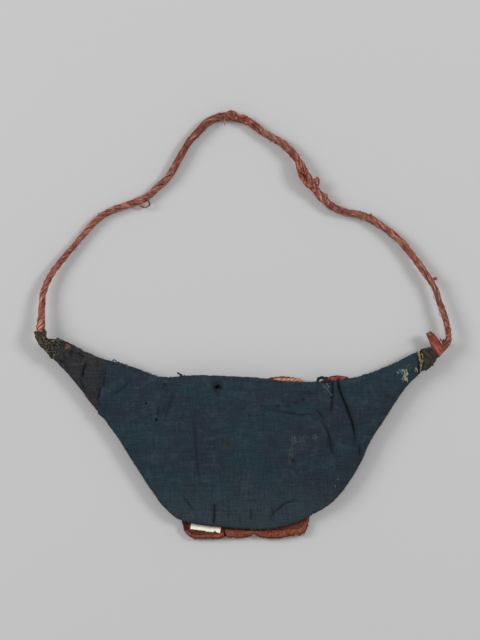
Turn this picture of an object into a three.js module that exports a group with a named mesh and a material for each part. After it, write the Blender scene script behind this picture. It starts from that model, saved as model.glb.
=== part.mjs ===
// A crescent-shaped cloth betel nut bag, lying on its front with the plain back panel up.
// Millimetres, +Z up. X runs along the bag, +Y from the belly to the strap, and Z = 0 is the table.
// The pouch is two cloth walls sewn along the foot and the arms and open along the mouth. A bound flap
// hangs on the front, under the pouch here, and a twisted cloth strap joins the two arm tips.
import * as THREE from "three";

// Driving dimensions
const CLOTH = 1.5; // thickness of one sewn cloth wall
const GAP = 0.3; // clearance between pieces that touch
const FLAP_GROUND = 2; // thickness of the flap's flat ground
const FLAP_RIM = 3.6; // height of the flap's rolled binding
const RIM_WIDTH = 5; // width of that binding
const RIM_ROUND = 0.9; // rounding of the binding's edges
const LABEL = { length: 25.6, width: 13, thick: 0.6, x: -25.4, y: -77.2, turn: -8.2 };
const STRAP = { diameter: 6.1, sides: 8, steps: 64 };
const LOOP = { diameter: 2, sides: 6, steps: 14 };
const TAIL = { low: 7.9, thick: 3.4 }; // the strap's loose cloth end

// Resolution of the lofted walls
const COLUMNS_PER_SECTION = 3;
const BACK_ROWS = 14;
const ARM_ROWS = 8;
const FRONT_ROWS = 8;
const RING_SIDES = 12;
const ROUND_STEPS = 6; // steps of each rounded corner of the flap

// Sections of the pouch from the left arm's tip to the right arm's tip. Seen from above, a section is a
// straight line from the mouth edge (top) to the seam edge (foot). base is the height of the front
// wall's inner face, lift is how far that wall curls up to the seam, swell is how far the back wall
// bulges off it, and mouth is the clear gap between the walls at the mouth edge.
const SECTIONS = [
  { topX: -152.4, topY: 81.5, footX: -159.7, footY: 64.7, base: 9.4, lift: 0, swell: 3.6, mouth: 0 },
  { topX: -138.8, topY: 75.7, footX: -149, footY: 57.1, base: 8.9, lift: 0.2, swell: 3.6, mouth: 0 },
  { topX: -125.2, topY: 68.5, footX: -134.5, footY: 40.4, base: 8.1, lift: 0.6, swell: 4, mouth: 0 },
  { topX: -109.4, topY: 62.4, footX: -116.2, footY: 17.9, base: 7.2, lift: 1.2, swell: 5, mouth: 0 },
  { topX: -95.4, topY: 59.1, footX: -100.5, footY: -3.8, base: 6.5, lift: 2, swell: 6, mouth: 0.6 },
  { topX: -81.7, topY: 54.1, footX: -84.3, footY: -29.4, base: 6, lift: 2.6, swell: 7, mouth: 2 },
  { topX: -69, topY: 49.8, footX: -69.8, footY: -51.5, base: 5.7, lift: 2.8, swell: 7.8, mouth: 4 },
  { topX: -57.9, topY: 47.7, footX: -57.9, footY: -66, base: 5.6, lift: 2.6, swell: 8.4, mouth: 5.6 },
  { topX: -46, topY: 49, footX: -46, footY: -73.9, base: 5.6, lift: 2.2, swell: 8.8, mouth: 6.4 },
  { topX: -27.2, topY: 49.4, footX: -28.1, footY: -78.1, base: 5.6, lift: 1.8, swell: 9, mouth: 6.8 },
  { topX: -6.8, topY: 48.7, footX: -6.8, footY: -80.2, base: 5.6, lift: 1.6, swell: 9, mouth: 7 },
  { topX: 13.6, topY: 47.7, footX: 13.6, footY: -81.5, base: 5.6, lift: 1.6, swell: 9, mouth: 7 },
  { topX: 34.1, topY: 45.8, footX: 34.1, footY: -80.9, base: 5.6, lift: 1.6, swell: 9, mouth: 6.8 },
  { topX: 52.8, topY: 44.2, footX: 51.9, footY: -75.6, base: 5.6, lift: 1.8, swell: 8.8, mouth: 6.4 },
  { topX: 69, topY: 44, footX: 69.3, footY: -66.8, base: 5.6, lift: 2.2, swell: 8.6, mouth: 5.8 },
  { topX: 82.6, topY: 44.9, footX: 83, footY: -57.5, base: 5.7, lift: 2.6, swell: 8.2, mouth: 5 },
  { topX: 95.4, topY: 46.6, footX: 95, footY: -42.9, base: 6, lift: 2.6, swell: 7.4, mouth: 3.4 },
  { topX: 107.3, topY: 49.4, footX: 105.2, footY: -26.2, base: 6.5, lift: 2.2, swell: 6.4, mouth: 1.4 },
  { topX: 120.9, topY: 54.1, footX: 114.6, footY: -6.6, base: 7.1, lift: 1.4, swell: 5.4, mouth: 0.4 },
  { topX: 134.5, topY: 60, footX: 128.9, footY: 16, base: 7.8, lift: 0.8, swell: 4.6, mouth: 0 },
  { topX: 148.2, topY: 66.8, footX: 143.5, footY: 38.2, base: 8.5, lift: 0.3, swell: 4, mouth: 0 },
  { topX: 155.4, topY: 70.2, footX: 156.8, footY: 51.6, base: 9, lift: 0, swell: 3.8, mouth: 0 },
];
const ARM_SEAM = 3; // the section where the grey arm cloth meets the indigo cloth
const ARM_SEAM_GAP = 0.03; // the gap at that seam, as a share of a section

// Creases pressed into the back wall, each along a straight line.
const FOLDS = [
  { fromX: 86, fromY: 43, toX: 94.5, toY: 21.7, depth: 1.7, width: 4 },
  { fromX: 94.5, fromY: 21.7, toX: 100.7, toY: -15.8, depth: 1.4, width: 4 },
  { fromX: 81.7, fromY: 42, toX: 80, toY: 15, depth: 1.2, width: 3.5 },
  { fromX: 72.4, fromY: 11.5, toX: 82.6, toY: -20, depth: 1.2, width: 4 },
  { fromX: -34.9, fromY: 14, toX: -29.8, toY: -45.6, depth: 0.9, width: 4 },
  { fromX: -49.4, fromY: 37, toX: -59.6, toY: 14.9, depth: 1, width: 4 },
  { fromX: -87.7, fromY: 48, toX: -107, toY: 30, depth: 0.9, width: 4.5 },
  { fromX: -18.3, fromY: -62.6, toX: -18.7, toY: -78, depth: 0.9, width: 3.5 },
  { fromX: 54.5, fromY: -55.8, toX: 31.5, toY: -67.7, depth: 0.9, width: 4 },
  { fromX: -126, fromY: 62, toX: -130.3, toY: 45.6, depth: 0.8, width: 4 },
];

// The flap's lower edge is three lobes. A corner's round is its length along the bottom, and its lean is
// how far it slants in, so that two lobes meet in an open notch. rightEnd is the height on the page
// where a lobe's right side ends: the notch before the next lobe, or the foot of the flap's right side.
const LOBES = [
  {
    left: -46, leftRound: 13, leftLean: 1.5,
    right: -10.2, rightRound: 5, rightLean: 2, rightEnd: -88.6,
    bottom: -89.8,
  },
  {
    left: -10.2, leftRound: 5, leftLean: 2.5,
    right: 15.3, rightRound: 12, rightLean: 4, rightEnd: -85.5,
    bottom: -88.9,
  },
  {
    left: 15.3, leftRound: 14, leftLean: 4,
    right: 62.2, rightRound: 16, rightLean: 1, rightEnd: -73.5,
    bottom: -89.4,
  },
];
const LEFT_SIDE_FOOT = -75.4; // where the flap's left side turns into its first lobe
// The flap's head, sewn along the mouth. It shows past the pouch's edge at its two high places.
const HEAD = [
  { x: 98, y: 45.6 },
  { x: 91, y: 48.6 },
  { x: 80, y: 48.2 },
  { x: 71, y: 43.4 },
  { x: 61, y: 42.6 },
  { x: 53, y: 46.6 },
  { x: 42, y: 48.2 },
  { x: 32, y: 47.4 },
  { x: 18, y: 46.4 },
  { x: -15, y: 47.4 },
  { x: -42, y: 48.2 },
  { x: -56, y: 45.8 },
];
// The opening of the binding, deeper in the left lobe up to recessEnd
const WINDOW = { foot: -82, round: 6, recessFoot: -86, recessEnd: -12.3, recessRound: 2.5 };

// Rings of the wound pieces at the arm tips. heading is the way the piece runs, in degrees from +X.
const TIE_RINGS = [
  { x: -156.3, y: 73.5, z: 11.2, heading: 156.5, wide: 16, tall: 7.4 },
  { x: -160, y: 74.8, z: 11.1, heading: 148, wide: 12.4, tall: 8 },
  { x: -163.1, y: 77.3, z: 10.9, heading: 122, wide: 10, tall: 8.2 },
  { x: -165.6, y: 81, z: 10.7, heading: 100, wide: 8.6, tall: 7.8 },
  { x: -166.7, y: 85.2, z: 10.6, heading: 95, wide: 9.6, tall: 8 },
  { x: -166.6, y: 88.9, z: 10.5, heading: 90, wide: 8, tall: 7.4 },
];
const WRAP_RINGS = [
  { x: 156.9, y: 61, z: 10.9, heading: 5, wide: 17.6, tall: 7.6 },
  { x: 160, y: 63, z: 10.8, heading: 14, wide: 17, tall: 8.6 },
  { x: 163.8, y: 66.3, z: 10.5, heading: 26, wide: 13.6, tall: 8.2 },
  { x: 168.9, y: 68.9, z: 10, heading: 32, wide: 10, tall: 7 },
];

// The strap's loose end, a folded wedge of cloth seen from above. Its first edge lies on the wrap, its
// left horn is free, and its right horn is rolled into the strap.
const TAIL_OUTLINE = [
  { x: 172.1, y: 65.2 },
  { x: 174.8, y: 68.1 },
  { x: 178.2, y: 71.5 },
  { x: 181.6, y: 76 },
  { x: 183.6, y: 80.2 },
  { x: 177.4, y: 80.2 },
  { x: 175, y: 75.4 },
  { x: 172, y: 79.6 },
  { x: 168.6, y: 84.3 },
  { x: 166, y: 86.4 },
  { x: 162.2, y: 85.2 },
  { x: 162.9, y: 82.6 },
  { x: 166.8, y: 73.6 },
];

// The strap's centre line, from the left tie up over the table and back to the right tail.
const STRAP_ROUTE = [
  [-166, 89.4, 10.4],
  [-165.5, 98.3, 9.8],
  [-165.2, 108.6, 9],
  [-164, 120.5, 7.9],
  [-159.7, 131.4, 6.8],
  [-154, 140.6, 5.8],
  [-146.3, 150.4, 5],
  [-138.4, 159.7, 4.4],
  [-129.7, 170.2, 4],
  [-121.5, 179.5, 3.7],
  [-112.4, 186.9, 3.5],
  [-100.5, 192.4, 3.4],
  [-88.6, 196.3, 3.4],
  [-77, 201.2, 3.6],
  [-67.7, 209.1, 3.8],
  [-58.4, 217.9, 4.2],
  [-51.6, 228.4, 4.6],
  [-46.2, 238.4, 4.8],
  [-40.3, 248.2, 4.8],
  [-32.4, 257.1, 4.6],
  [-23.8, 265.6, 4.2],
  [-12.8, 270.4, 3.8],
  [-3.6, 269.8, 3.8],
  [9.5, 266.4, 4.4],
  [25.4, 255.4, 5.4],
  [37.3, 248.6, 6.2],
  [47, 240, 7],
  [55.3, 229, 7.4],
  [62.6, 216.8, 7.2],
  [70.4, 204.4, 6.6],
  [80.4, 194.4, 5.6],
  [92.8, 189, 4.8],
  [105.6, 186.4, 4.4],
  [118.4, 180.8, 4.6],
  [140.2, 163.8, 6],
  [158.7, 139.7, 7.6],
  [168.3, 125.6, 8.5],
  [173.2, 112, 9],
  [178.5, 96.2, 9.4],
  [180.5, 80.7, 9.6],
];

const LOOP_ROUTE = [
  [69.4, 45, 12.8],
  [69.8, 47.2, 12.9],
  [72.8, 48.6, 13],
  [76, 47.6, 12.8],
  [76.8, 45.2, 12.4],
];

const cloth = (color) => new THREE.MeshStandardMaterial({ color, roughness: 0.92, metalness: 0 });
const FINISH = {
  indigo: cloth(0x29333b),
  greyCloth: cloth(0x323338),
  frontCloth: cloth(0x2c2a2c),
  red: cloth(0x7c4236),
  madder: cloth(0x6a3a2c),
  label: cloth(0xd6cfbd),
  olive: cloth(0x48443a),
  wrap: cloth(0x3e3833),
  loop: cloth(0x241f28),
};

const vector = ([x, y, z]) => new THREE.Vector3(x, y, z);

// A closed solid through rings of points. Point k of a ring and its mirror from the ring's end face
// each other, which lets strips between them close the two ends.
function loft(rings) {
  const count = rings[0].length;
  const index = [];
  const quad = (a, b, c, d) => index.push(a, b, c, a, c, d);
  for (let i = 0; i + 1 < rings.length; i++) {
    const near = i * count;
    const far = near + count;
    for (let k = 0; k < count; k++) {
      const next = (k + 1) % count;
      quad(near + k, near + next, far + next, far + k);
    }
  }
  const last = (rings.length - 1) * count;
  for (let k = 0; k + 1 < count / 2; k++) {
    const mirror = count - 1 - k;
    quad(mirror, mirror - 1, k + 1, k);
    quad(last + k, last + k + 1, last + mirror - 1, last + mirror);
  }
  const geometry = new THREE.BufferGeometry().setFromPoints(rings.flat());
  geometry.setIndex(index);
  geometry.computeVertexNormals();
  return geometry;
}

// The pouch's section at any place between two rows of the table
const COLUMN_NAMES = Object.keys(SECTIONS[0]);
const sectionCurve = new THREE.CubicInterpolant(
  SECTIONS.map((_, row) => row),
  SECTIONS.flatMap((row) => COLUMN_NAMES.map((name) => row[name])),
  COLUMN_NAMES.length,
);
function sectionAt(place) {
  const values = sectionCurve.evaluate(place);
  return Object.fromEntries(COLUMN_NAMES.map((name, column) => [name, values[column]]));
}

// How far the creases sink the back wall at a point seen from above
function foldDepth(point) {
  const nearest = new THREE.Vector3();
  let sunk = 0;
  for (const fold of FOLDS) {
    const from = new THREE.Vector3(fold.fromX, fold.fromY, 0);
    const to = new THREE.Vector3(fold.toX, fold.toY, 0);
    new THREE.Line3(from, to).closestPointToPoint(point, true, nearest);
    sunk += fold.depth * Math.exp(-((point.distanceTo(nearest) / fold.width) ** 2));
  }
  return sunk;
}

// Height of each wall's inner face, where across runs from 0 at the mouth edge to 1 at the seam edge
const CURL_POWER = 6; // the front wall turns up only close to the seam
const SWELL_POWER = 0.8; // below 1, the bulge has a full, rounded edge
const FOLD_FADE = 0.08; // the creases end over this share of a section, next to the seam
function frontInner(section, across) {
  return section.base + section.lift * across ** CURL_POWER;
}
function backInner(section, across, point) {
  const closed = frontInner(section, across) + GAP;
  const bulge = Math.max(section.swell, 0) * Math.sin(Math.PI * across) ** SWELL_POWER;
  const agape = Math.max(section.mouth, 0) * (1 - across) ** 2;
  const fade = Math.min(1, (1 - across) / FOLD_FADE);
  return Math.max(closed, closed + bulge + agape - foldDepth(point) * fade);
}

// One cloth wall between two places along the pouch, with its inner face at the given height
function clothWall(fromPlace, toPlace, rows, innerHeight, outward) {
  const columns = Math.round((toPlace - fromPlace) * COLUMNS_PER_SECTION);
  const rings = [];
  for (let i = 0; i <= columns; i++) {
    const section = sectionAt(THREE.MathUtils.lerp(fromPlace, toPlace, i / columns));
    const top = new THREE.Vector3(section.topX, section.topY, 0);
    const foot = new THREE.Vector3(section.footX, section.footY, 0);
    const upper = [];
    const lower = [];
    for (let j = 0; j <= rows; j++) {
      const point = top.clone().lerp(foot, j / rows);
      const inner = innerHeight(section, j / rows, point);
      const outer = inner + outward * CLOTH;
      upper.push(point.clone().setZ(Math.max(inner, outer)));
      lower.unshift(point.clone().setZ(Math.min(inner, outer)));
    }
    rings.push([...upper, ...lower]);
  }
  return loft(rings);
}

// A wound piece through oval rings
function woundPiece(ringRows) {
  const rings = ringRows.map((row) => {
    const heading = THREE.MathUtils.degToRad(row.heading);
    const side = new THREE.Vector3(Math.sin(heading), -Math.cos(heading), 0);
    return Array.from({ length: RING_SIDES }, (_, k) => {
      const angle = ((k + 0.5) / RING_SIDES) * 2 * Math.PI;
      const point = new THREE.Vector3(row.x, row.y, row.z);
      point.addScaledVector(side, (-row.wide / 2) * Math.cos(angle));
      return point.setZ(row.z + (row.tall / 2) * Math.sin(angle));
    });
  });
  return loft(rings);
}

// A round cord along a smooth curve through a list of points
function cordAlong(route, { diameter, sides, steps }) {
  const section = new THREE.Shape();
  for (let k = 0; k < sides; k++) {
    const angle = ((k + 0.5) / sides) * 2 * Math.PI;
    const place = [(diameter / 2) * Math.cos(angle), (diameter / 2) * Math.sin(angle)];
    if (k === 0) section.moveTo(...place);
    else section.lineTo(...place);
  }
  const extrudePath = new THREE.CatmullRomCurve3(route.map(vector));
  return new THREE.ExtrudeGeometry(section, { extrudePath, steps });
}

// The flap's outline seen from above: down the left side, along the lobes and up to the head
function flapOutline() {
  const outline = new THREE.Shape();
  const lastHead = HEAD[HEAD.length - 1];
  outline.moveTo(lastHead.x, lastHead.y);
  outline.lineTo(LOBES[0].left, LEFT_SIDE_FOOT);
  for (const lobe of LOBES) {
    const { left, right, bottom } = lobe;
    outline.quadraticCurveTo(left + lobe.leftLean, bottom, left + lobe.leftRound, bottom);
    outline.lineTo(right - lobe.rightRound, bottom);
    outline.quadraticCurveTo(right - lobe.rightLean, bottom, right, lobe.rightEnd);
  }
  outline.lineTo(HEAD[0].x, HEAD[0].y);
  outline.splineThru(HEAD.slice(1).map(({ x, y }) => new THREE.Vector2(x, y)));
  return outline;
}

// The binding's window, or with a margin the flat ground that lies in it
function flapWindow(margin) {
  const { round, recessRound } = WINDOW;
  const head = Math.min(...HEAD.map(({ y }) => y)) - RIM_WIDTH - margin;
  const foot = WINDOW.foot + margin;
  const recessFoot = WINDOW.recessFoot + margin;
  const recessEnd = WINDOW.recessEnd - margin;
  const inset = RIM_WIDTH + margin;
  const left = LOBES[0].left + inset;
  const right = LOBES[LOBES.length - 1].right - inset;
  const outline = new THREE.Path();
  outline.moveTo(HEAD[HEAD.length - 1].x + inset, head);
  outline.lineTo(left, recessFoot + round);
  outline.quadraticCurveTo(left, recessFoot, left + round, recessFoot);
  outline.lineTo(recessEnd - recessRound, recessFoot);
  outline.quadraticCurveTo(recessEnd, recessFoot, recessEnd, foot);
  outline.lineTo(right - round, foot);
  outline.quadraticCurveTo(right, foot, right, foot + round);
  outline.lineTo(HEAD[0].x - inset, head);
  outline.closePath();
  return outline;
}

function flapBinding() {
  const outline = flapOutline();
  outline.holes.push(flapWindow(0));
  const geometry = new THREE.ExtrudeGeometry(outline, {
    depth: FLAP_RIM - 2 * RIM_ROUND,
    bevelThickness: RIM_ROUND,
    bevelSize: RIM_ROUND,
    bevelOffset: -RIM_ROUND,
    bevelSegments: 2,
    curveSegments: ROUND_STEPS,
  });
  return geometry.translate(0, 0, RIM_ROUND);
}

function flapGround() {
  const outline = new THREE.Shape(flapWindow(GAP).getPoints(ROUND_STEPS));
  return new THREE.ExtrudeGeometry(outline, { depth: FLAP_GROUND, bevelEnabled: false });
}

function strapTail() {
  const outline = new THREE.Shape(TAIL_OUTLINE.map(({ x, y }) => new THREE.Vector2(x, y)));
  const geometry = new THREE.ExtrudeGeometry(outline, { depth: TAIL.thick, bevelEnabled: false });
  return geometry.translate(0, 0, TAIL.low);
}

const bag = new THREE.Group();
function piece(name, geometry, material) {
  const mesh = new THREE.Mesh(geometry, material);
  mesh.name = name;
  bag.add(mesh);
  return mesh;
}

const LAST = SECTIONS.length - 1;
const BACK_START = ARM_SEAM + ARM_SEAM_GAP;
piece("back_panel", clothWall(BACK_START, LAST, BACK_ROWS, backInner, 1), FINISH.indigo);
piece("left_arm_panel", clothWall(0, ARM_SEAM, ARM_ROWS, backInner, 1), FINISH.greyCloth);
piece("front_panel", clothWall(0, LAST, FRONT_ROWS, frontInner, -1), FINISH.frontCloth);
piece("flap_binding", flapBinding(), FINISH.red);
piece("flap_ground", flapGround(), FINISH.madder);
piece("left_tie", woundPiece(TIE_RINGS), FINISH.olive);
piece("right_wrap", woundPiece(WRAP_RINGS), FINISH.wrap);
piece("strap", cordAlong(STRAP_ROUTE, STRAP), FINISH.red);
piece("strap_tail", strapTail(), FINISH.red);
piece("mouth_loop", cordAlong(LOOP_ROUTE, LOOP), FINISH.loop);

const label = new THREE.BoxGeometry(LABEL.length, LABEL.width, LABEL.thick);
const labelMesh = piece("flap_label", label, FINISH.label);
labelMesh.position.set(LABEL.x, LABEL.y, FLAP_GROUND + GAP + LABEL.thick / 2);
labelMesh.rotation.z = THREE.MathUtils.degToRad(LABEL.turn);

export default bag;
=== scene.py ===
# %% [markdown]
# # A betel nut bag, dressed piece by piece
# The bag is a crescent of indigo cloth that lies on its front, with a red flap under it and a twisted
# cloth strap laid out above it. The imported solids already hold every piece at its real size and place.
# This lesson gives each of them the cloth, yarn, creases and wear of the real one.

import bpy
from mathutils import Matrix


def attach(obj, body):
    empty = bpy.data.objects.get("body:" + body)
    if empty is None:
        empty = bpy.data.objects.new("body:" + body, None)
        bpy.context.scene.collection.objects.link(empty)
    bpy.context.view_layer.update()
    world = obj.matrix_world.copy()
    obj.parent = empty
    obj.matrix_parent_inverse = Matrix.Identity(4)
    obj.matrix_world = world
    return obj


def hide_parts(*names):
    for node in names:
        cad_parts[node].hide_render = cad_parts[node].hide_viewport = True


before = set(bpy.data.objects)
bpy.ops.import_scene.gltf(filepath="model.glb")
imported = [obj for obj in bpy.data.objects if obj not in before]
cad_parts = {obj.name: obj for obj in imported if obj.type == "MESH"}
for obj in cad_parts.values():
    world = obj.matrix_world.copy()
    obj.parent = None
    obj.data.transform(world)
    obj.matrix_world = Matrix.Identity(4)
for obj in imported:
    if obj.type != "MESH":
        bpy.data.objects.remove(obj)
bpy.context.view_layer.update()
print("solids to dress:", ", ".join(sorted(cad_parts)))

# %% [markdown]
# ## Tools for every step
# Sizes are written in millimetres, because that is how the bag was measured, and `MM` turns them into
# Blender's metres. Every piece ends the same way: a mesh at the origin, shaded smooth, with its finish,
# riding on the bag's one body and hiding the solid it stands for. One helper does that.

# %% Units and the helper that ends each piece
import math
import random

import bmesh
import bpy
from mathutils import Matrix, Vector, noise
from mathutils.geometry import intersect_point_line

MM = 0.001
scene = bpy.context.scene
collection = scene.collection


def new_piece(name, source, finish, nodes=()):
    """Makes a piece of a bmesh or of a ready mesh, which then rides on the bag."""
    if isinstance(source, bmesh.types.BMesh):
        mesh = bpy.data.meshes.new(name)
        source.to_mesh(mesh)
        source.free()
    else:
        mesh = source
        mesh.name = name
    mesh.polygons.foreach_set("use_smooth", [True] * len(mesh.polygons))
    mesh.materials.clear()
    mesh.materials.append(finish)
    piece = bpy.data.objects.new(name, mesh)
    collection.objects.link(piece)
    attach(piece, "root")
    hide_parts(*nodes)
    print(f"{name}: {len(mesh.vertices)} points, {len(mesh.polygons)} faces")
    return piece


print("Blender's unit of length:", scene.unit_settings.length_unit.lower())

# %% [markdown]
# ## The camera
# The bag was photographed from straight above, from far enough away that its outline is nearly flat. A
# long lens 1.6 m over the table does the same. Its focal length follows from the height of the view at
# the bag's own level, so that a millimetre on the bag is the same share of the picture.

# %% Camera
SENSOR = 36
CAMERA_HEIGHT = 1600
VIEW_CENTRE = (3.4, 96.7)
PICTURE_PIXELS = (480, 640)
MM_PER_PIXEL = 0.8515
TRUE_SCALE_HEIGHT = 8  # the level on the bag where that scale holds

camera_data = bpy.data.cameras.new("camera")
camera_data.sensor_width = SENSOR
camera_data.lens = SENSOR * (CAMERA_HEIGHT - TRUE_SCALE_HEIGHT) / (max(PICTURE_PIXELS) * MM_PER_PIXEL)
camera = bpy.data.objects.new("camera", camera_data)
camera.location = Vector((*VIEW_CENTRE, CAMERA_HEIGHT)) * MM
collection.objects.link(camera)
scene.camera = camera
print(f"lens {camera_data.lens:.1f} mm")

# %% [markdown]
# ## Light and table
# Two large soft lamps stand to the left and the right, a little beyond the strap, so every raised edge
# throws two soft shadows. The rest is even light from all round. The table is a plain pale grey sheet.

# %% Lamps and sky
LAMP_AIM = (0, 60, 0)
LAMPS = [
    {"name": "lamp_left", "x": -2570, "y": 980, "z": 1800, "size": 1350, "watts": 55},
    {"name": "lamp_right", "x": 2570, "y": 980, "z": 2120, "size": 900, "watts": 47.5},
]
SKY_LIGHT = 0.465


def stand_lamp(row):
    """Stands one soft lamp beside the bag and turns it to face it."""
    lamp_data = bpy.data.lights.new(row["name"], "AREA")
    lamp_data.size = row["size"] * MM
    lamp_data.energy = row["watts"]
    lamp = bpy.data.objects.new(row["name"], lamp_data)
    lamp.location = Vector((row["x"], row["y"], row["z"])) * MM
    lamp.rotation_euler = (Vector(LAMP_AIM) * MM - lamp.location).to_track_quat("-Z", "Y").to_euler()
    collection.objects.link(lamp)


for row in LAMPS:
    stand_lamp(row)

scene.view_settings.view_transform = "Standard"
scene.world = bpy.data.worlds.new("even light")
scene.world.use_nodes = True
sky = scene.world.node_tree.nodes["Background"]
sky.inputs["Color"].default_value = (1.0, 0.995, 0.985, 1)
sky.inputs["Strength"].default_value = SKY_LIGHT
print("lamps:", len(LAMPS), "and a sky of", SKY_LIGHT)

# %% Table
TABLE_TONE = 0.56
TABLE_SIZE = 12000
table_bm = bmesh.new()
bmesh.ops.create_grid(table_bm, x_segments=1, y_segments=1, size=TABLE_SIZE * MM / 2)
table_mesh = bpy.data.meshes.new("table")
table_bm.to_mesh(table_mesh)
table_bm.free()
table = bpy.data.objects.new("table", table_mesh)
collection.objects.link(table)
table_finish = bpy.data.materials.new("table paper")
table_finish.use_nodes = True
table_shader = table_finish.node_tree.nodes["Principled BSDF"]
table_shader.inputs["Base Color"].default_value = (TABLE_TONE, TABLE_TONE, TABLE_TONE * 1.005, 1)
table_shader.inputs["Roughness"].default_value = 0.95
table_shader.inputs["Specular IOR Level"].default_value = 0.1
table_mesh.materials.append(table_finish)
print("a table", TABLE_SIZE / 1000, "m wide")

# %% [markdown]
# ## Shader maths as plain arithmetic
# A cloth finish mixes many small patterns. Wiring each Math node by hand hides the idea, so a `Wire`
# holds one socket and Python's own operators add the nodes: `1 - mask` becomes a Subtract node. Every
# other kind of node comes from the one method `node`.


# %% The wire class
class Wire:
    """A socket in a material, with arithmetic that adds Math nodes."""

    def __init__(self, tree, socket=None):
        self.tree = tree
        self.socket = socket

    def node(self, kind, settings=None, sockets=None, out=0):
        made = self.tree.nodes.new("ShaderNode" + kind)
        for name, value in (settings or {}).items():
            setattr(made, name, value)
        for name, value in (sockets or {}).items():
            if isinstance(value, Wire):
                self.tree.links.new(value.socket, made.inputs[name])
            else:
                made.inputs[name].default_value = value
        return Wire(self.tree, made.outputs[out])

    def math(self, operation, first, second=0.0):
        return self.node("Math", {"operation": operation}, {0: first, 1: second})

    def __add__(self, other):
        return self.math("ADD", self, other)

    def __sub__(self, other):
        return self.math("SUBTRACT", self, other)

    def __rsub__(self, other):
        return self.math("SUBTRACT", other, self)

    def __mul__(self, other):
        return self.math("MULTIPLY", self, other)

    def __truediv__(self, other):
        return self.math("DIVIDE", self, other)

    def __pow__(self, other):
        return self.math("POWER", self, other)

    __radd__ = __add__
    __rmul__ = __mul__


print("wire class ready")

# %% [markdown]
# ## Patterns that the finishes share
# Each helper returns a wire. `spread` is noise with its own size along each axis, so a long thin size
# gives a yarn's streaks. `step` is a soft threshold, `mix` lays one colour over another by a mask, and
# `weave` is the over-and-under of a plain weave, raised where a yarn passes over its neighbour.


# %% Pattern helpers
def spread(place, sizes, detail=2.0, rough=0.5, shift=0.0):
    """Noise from 0 to 1 whose blotches have these sizes in millimetres along X, Y and Z."""
    scaled = place.node(
        "VectorMath",
        {"operation": "MULTIPLY_ADD"},
        {0: place, 1: [1 / (size * MM) for size in sizes], 2: (shift, shift, shift)},
    )
    settings = {"noise_dimensions": "3D"}
    return place.node(
        "TexNoise", settings, {"Vector": scaled, "Scale": 1.0, "Detail": detail, "Roughness": rough}
    )


def step(value, low, high):
    """A soft threshold: 0 below low, 1 above high."""
    settings = {"interpolation_type": "SMOOTHSTEP"}
    return value.node("MapRange", settings, {"Value": value, "From Min": low, "From Max": high})


def mix(mask, under, over):
    """One colour over another by a mask."""
    settings = {"data_type": "RGBA"}
    return mask.node("Mix", settings, {0: mask, 6: under, 7: over}, out=2)


def toned(colour, amount):
    """A colour made lighter or darker by a wire of numbers round 1."""
    return amount.node("VectorMath", {"operation": "SCALE"}, {0: colour, "Scale": amount})


def axes(place):
    """The X, Y and Z of a place, each as a wire."""
    split = place.node("SeparateXYZ", None, {0: place})
    return [Wire(place.tree, output) for output in split.socket.node.outputs]


def layer_of(place, name):
    """The number that each point of a mesh keeps under this name, as a wire."""
    return place.node("Attribute", {"attribute_name": name}, out="Fac")


def weave(place, yarn):
    """Height of a plain weave, and which of the two yarns lies on top."""
    wander = spread(place, (9, 9, 9), detail=1) * 1.6
    x, y = axes(place)[:2]
    across = x * (math.pi / (yarn * MM)) + wander
    along = y * (math.pi / (yarn * MM)) - wander
    crossing = place.math("SINE", across) * place.math("SINE", along)
    return place.math("ABSOLUTE", crossing), step(crossing, -0.3, 0.3)


print("pattern helpers ready")


# %% Finish helpers
def srgb(red, green, blue):
    """A colour as seen on a screen, from 0 to 255, as the linear colour that shaders use."""
    shares = [value / 255 for value in (red, green, blue)]
    return (*[((s + 0.055) / 1.055) ** 2.4 if s > 0.04 else s / 12.92 for s in shares], 1)


def start_finish(name, roughness=0.92, sheen=0.0):
    """A new material: its shader node and a wire of the place on the bag."""
    material = bpy.data.materials.new(name)
    material.use_nodes = True
    shader = material.node_tree.nodes["Principled BSDF"]
    shader.inputs["Roughness"].default_value = roughness
    shader.inputs["Specular IOR Level"].default_value = 0.2
    shader.inputs["Sheen Weight"].default_value = sheen
    shader.inputs["Sheen Roughness"].default_value = 0.5
    place = Wire(material.node_tree).node("TexCoord", out="Object")
    return material, shader, place


def wear(shader, colour, height, depth, strength=0.6):
    """Puts a colour and a height in millimetres of depth on a shader."""
    tree = colour.tree
    sockets = {"Strength": strength, "Distance": depth * MM, "Height": height}
    normal = colour.node("Bump", None, sockets)
    tree.links.new(colour.socket, shader.inputs["Base Color"])
    tree.links.new(normal.socket, shader.inputs["Normal"])


print("finish helpers ready")

# %% [markdown]
# ## Paths and tubes
# Strap, yarn and thread are all round things along a path. A smooth curve through a few measured points
# gives the path. A flat grid is then rolled up round it, with a radius that may change along and round
# the tube, and the roll is closed by merging the two edges. The grid's own layout is kept as UV, so a
# finish knows how far along and how far round it is.


# %% Path helpers
def smooth_path(points, spacing):
    """Points about one spacing apart on a smooth curve through the given points, in metres."""
    knots = [Vector(point) * MM for point in points]
    ends = [2 * knots[0] - knots[1], *knots, 2 * knots[-1] - knots[-2]]
    path = []
    for before, start, stop, after in zip(ends, ends[1:], ends[2:], ends[3:]):
        count = max(1, round((stop - start).length / (spacing * MM)))
        for index in range(count):
            t = index / count
            slope = (stop - before) * t
            bend = (2 * before - 5 * start + 4 * stop - after) * t**2
            turn = (3 * start - before - 3 * stop + after) * t**3
            path.append((2 * start + slope + bend + turn) / 2)
    path.append(knots[-1])
    return path


def distances(path):
    """How far along the path each of its points is."""
    reached = [0.0]
    for start, stop in zip(path, path[1:]):
        reached.append(reached[-1] + (stop - start).length)
    return reached


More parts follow.
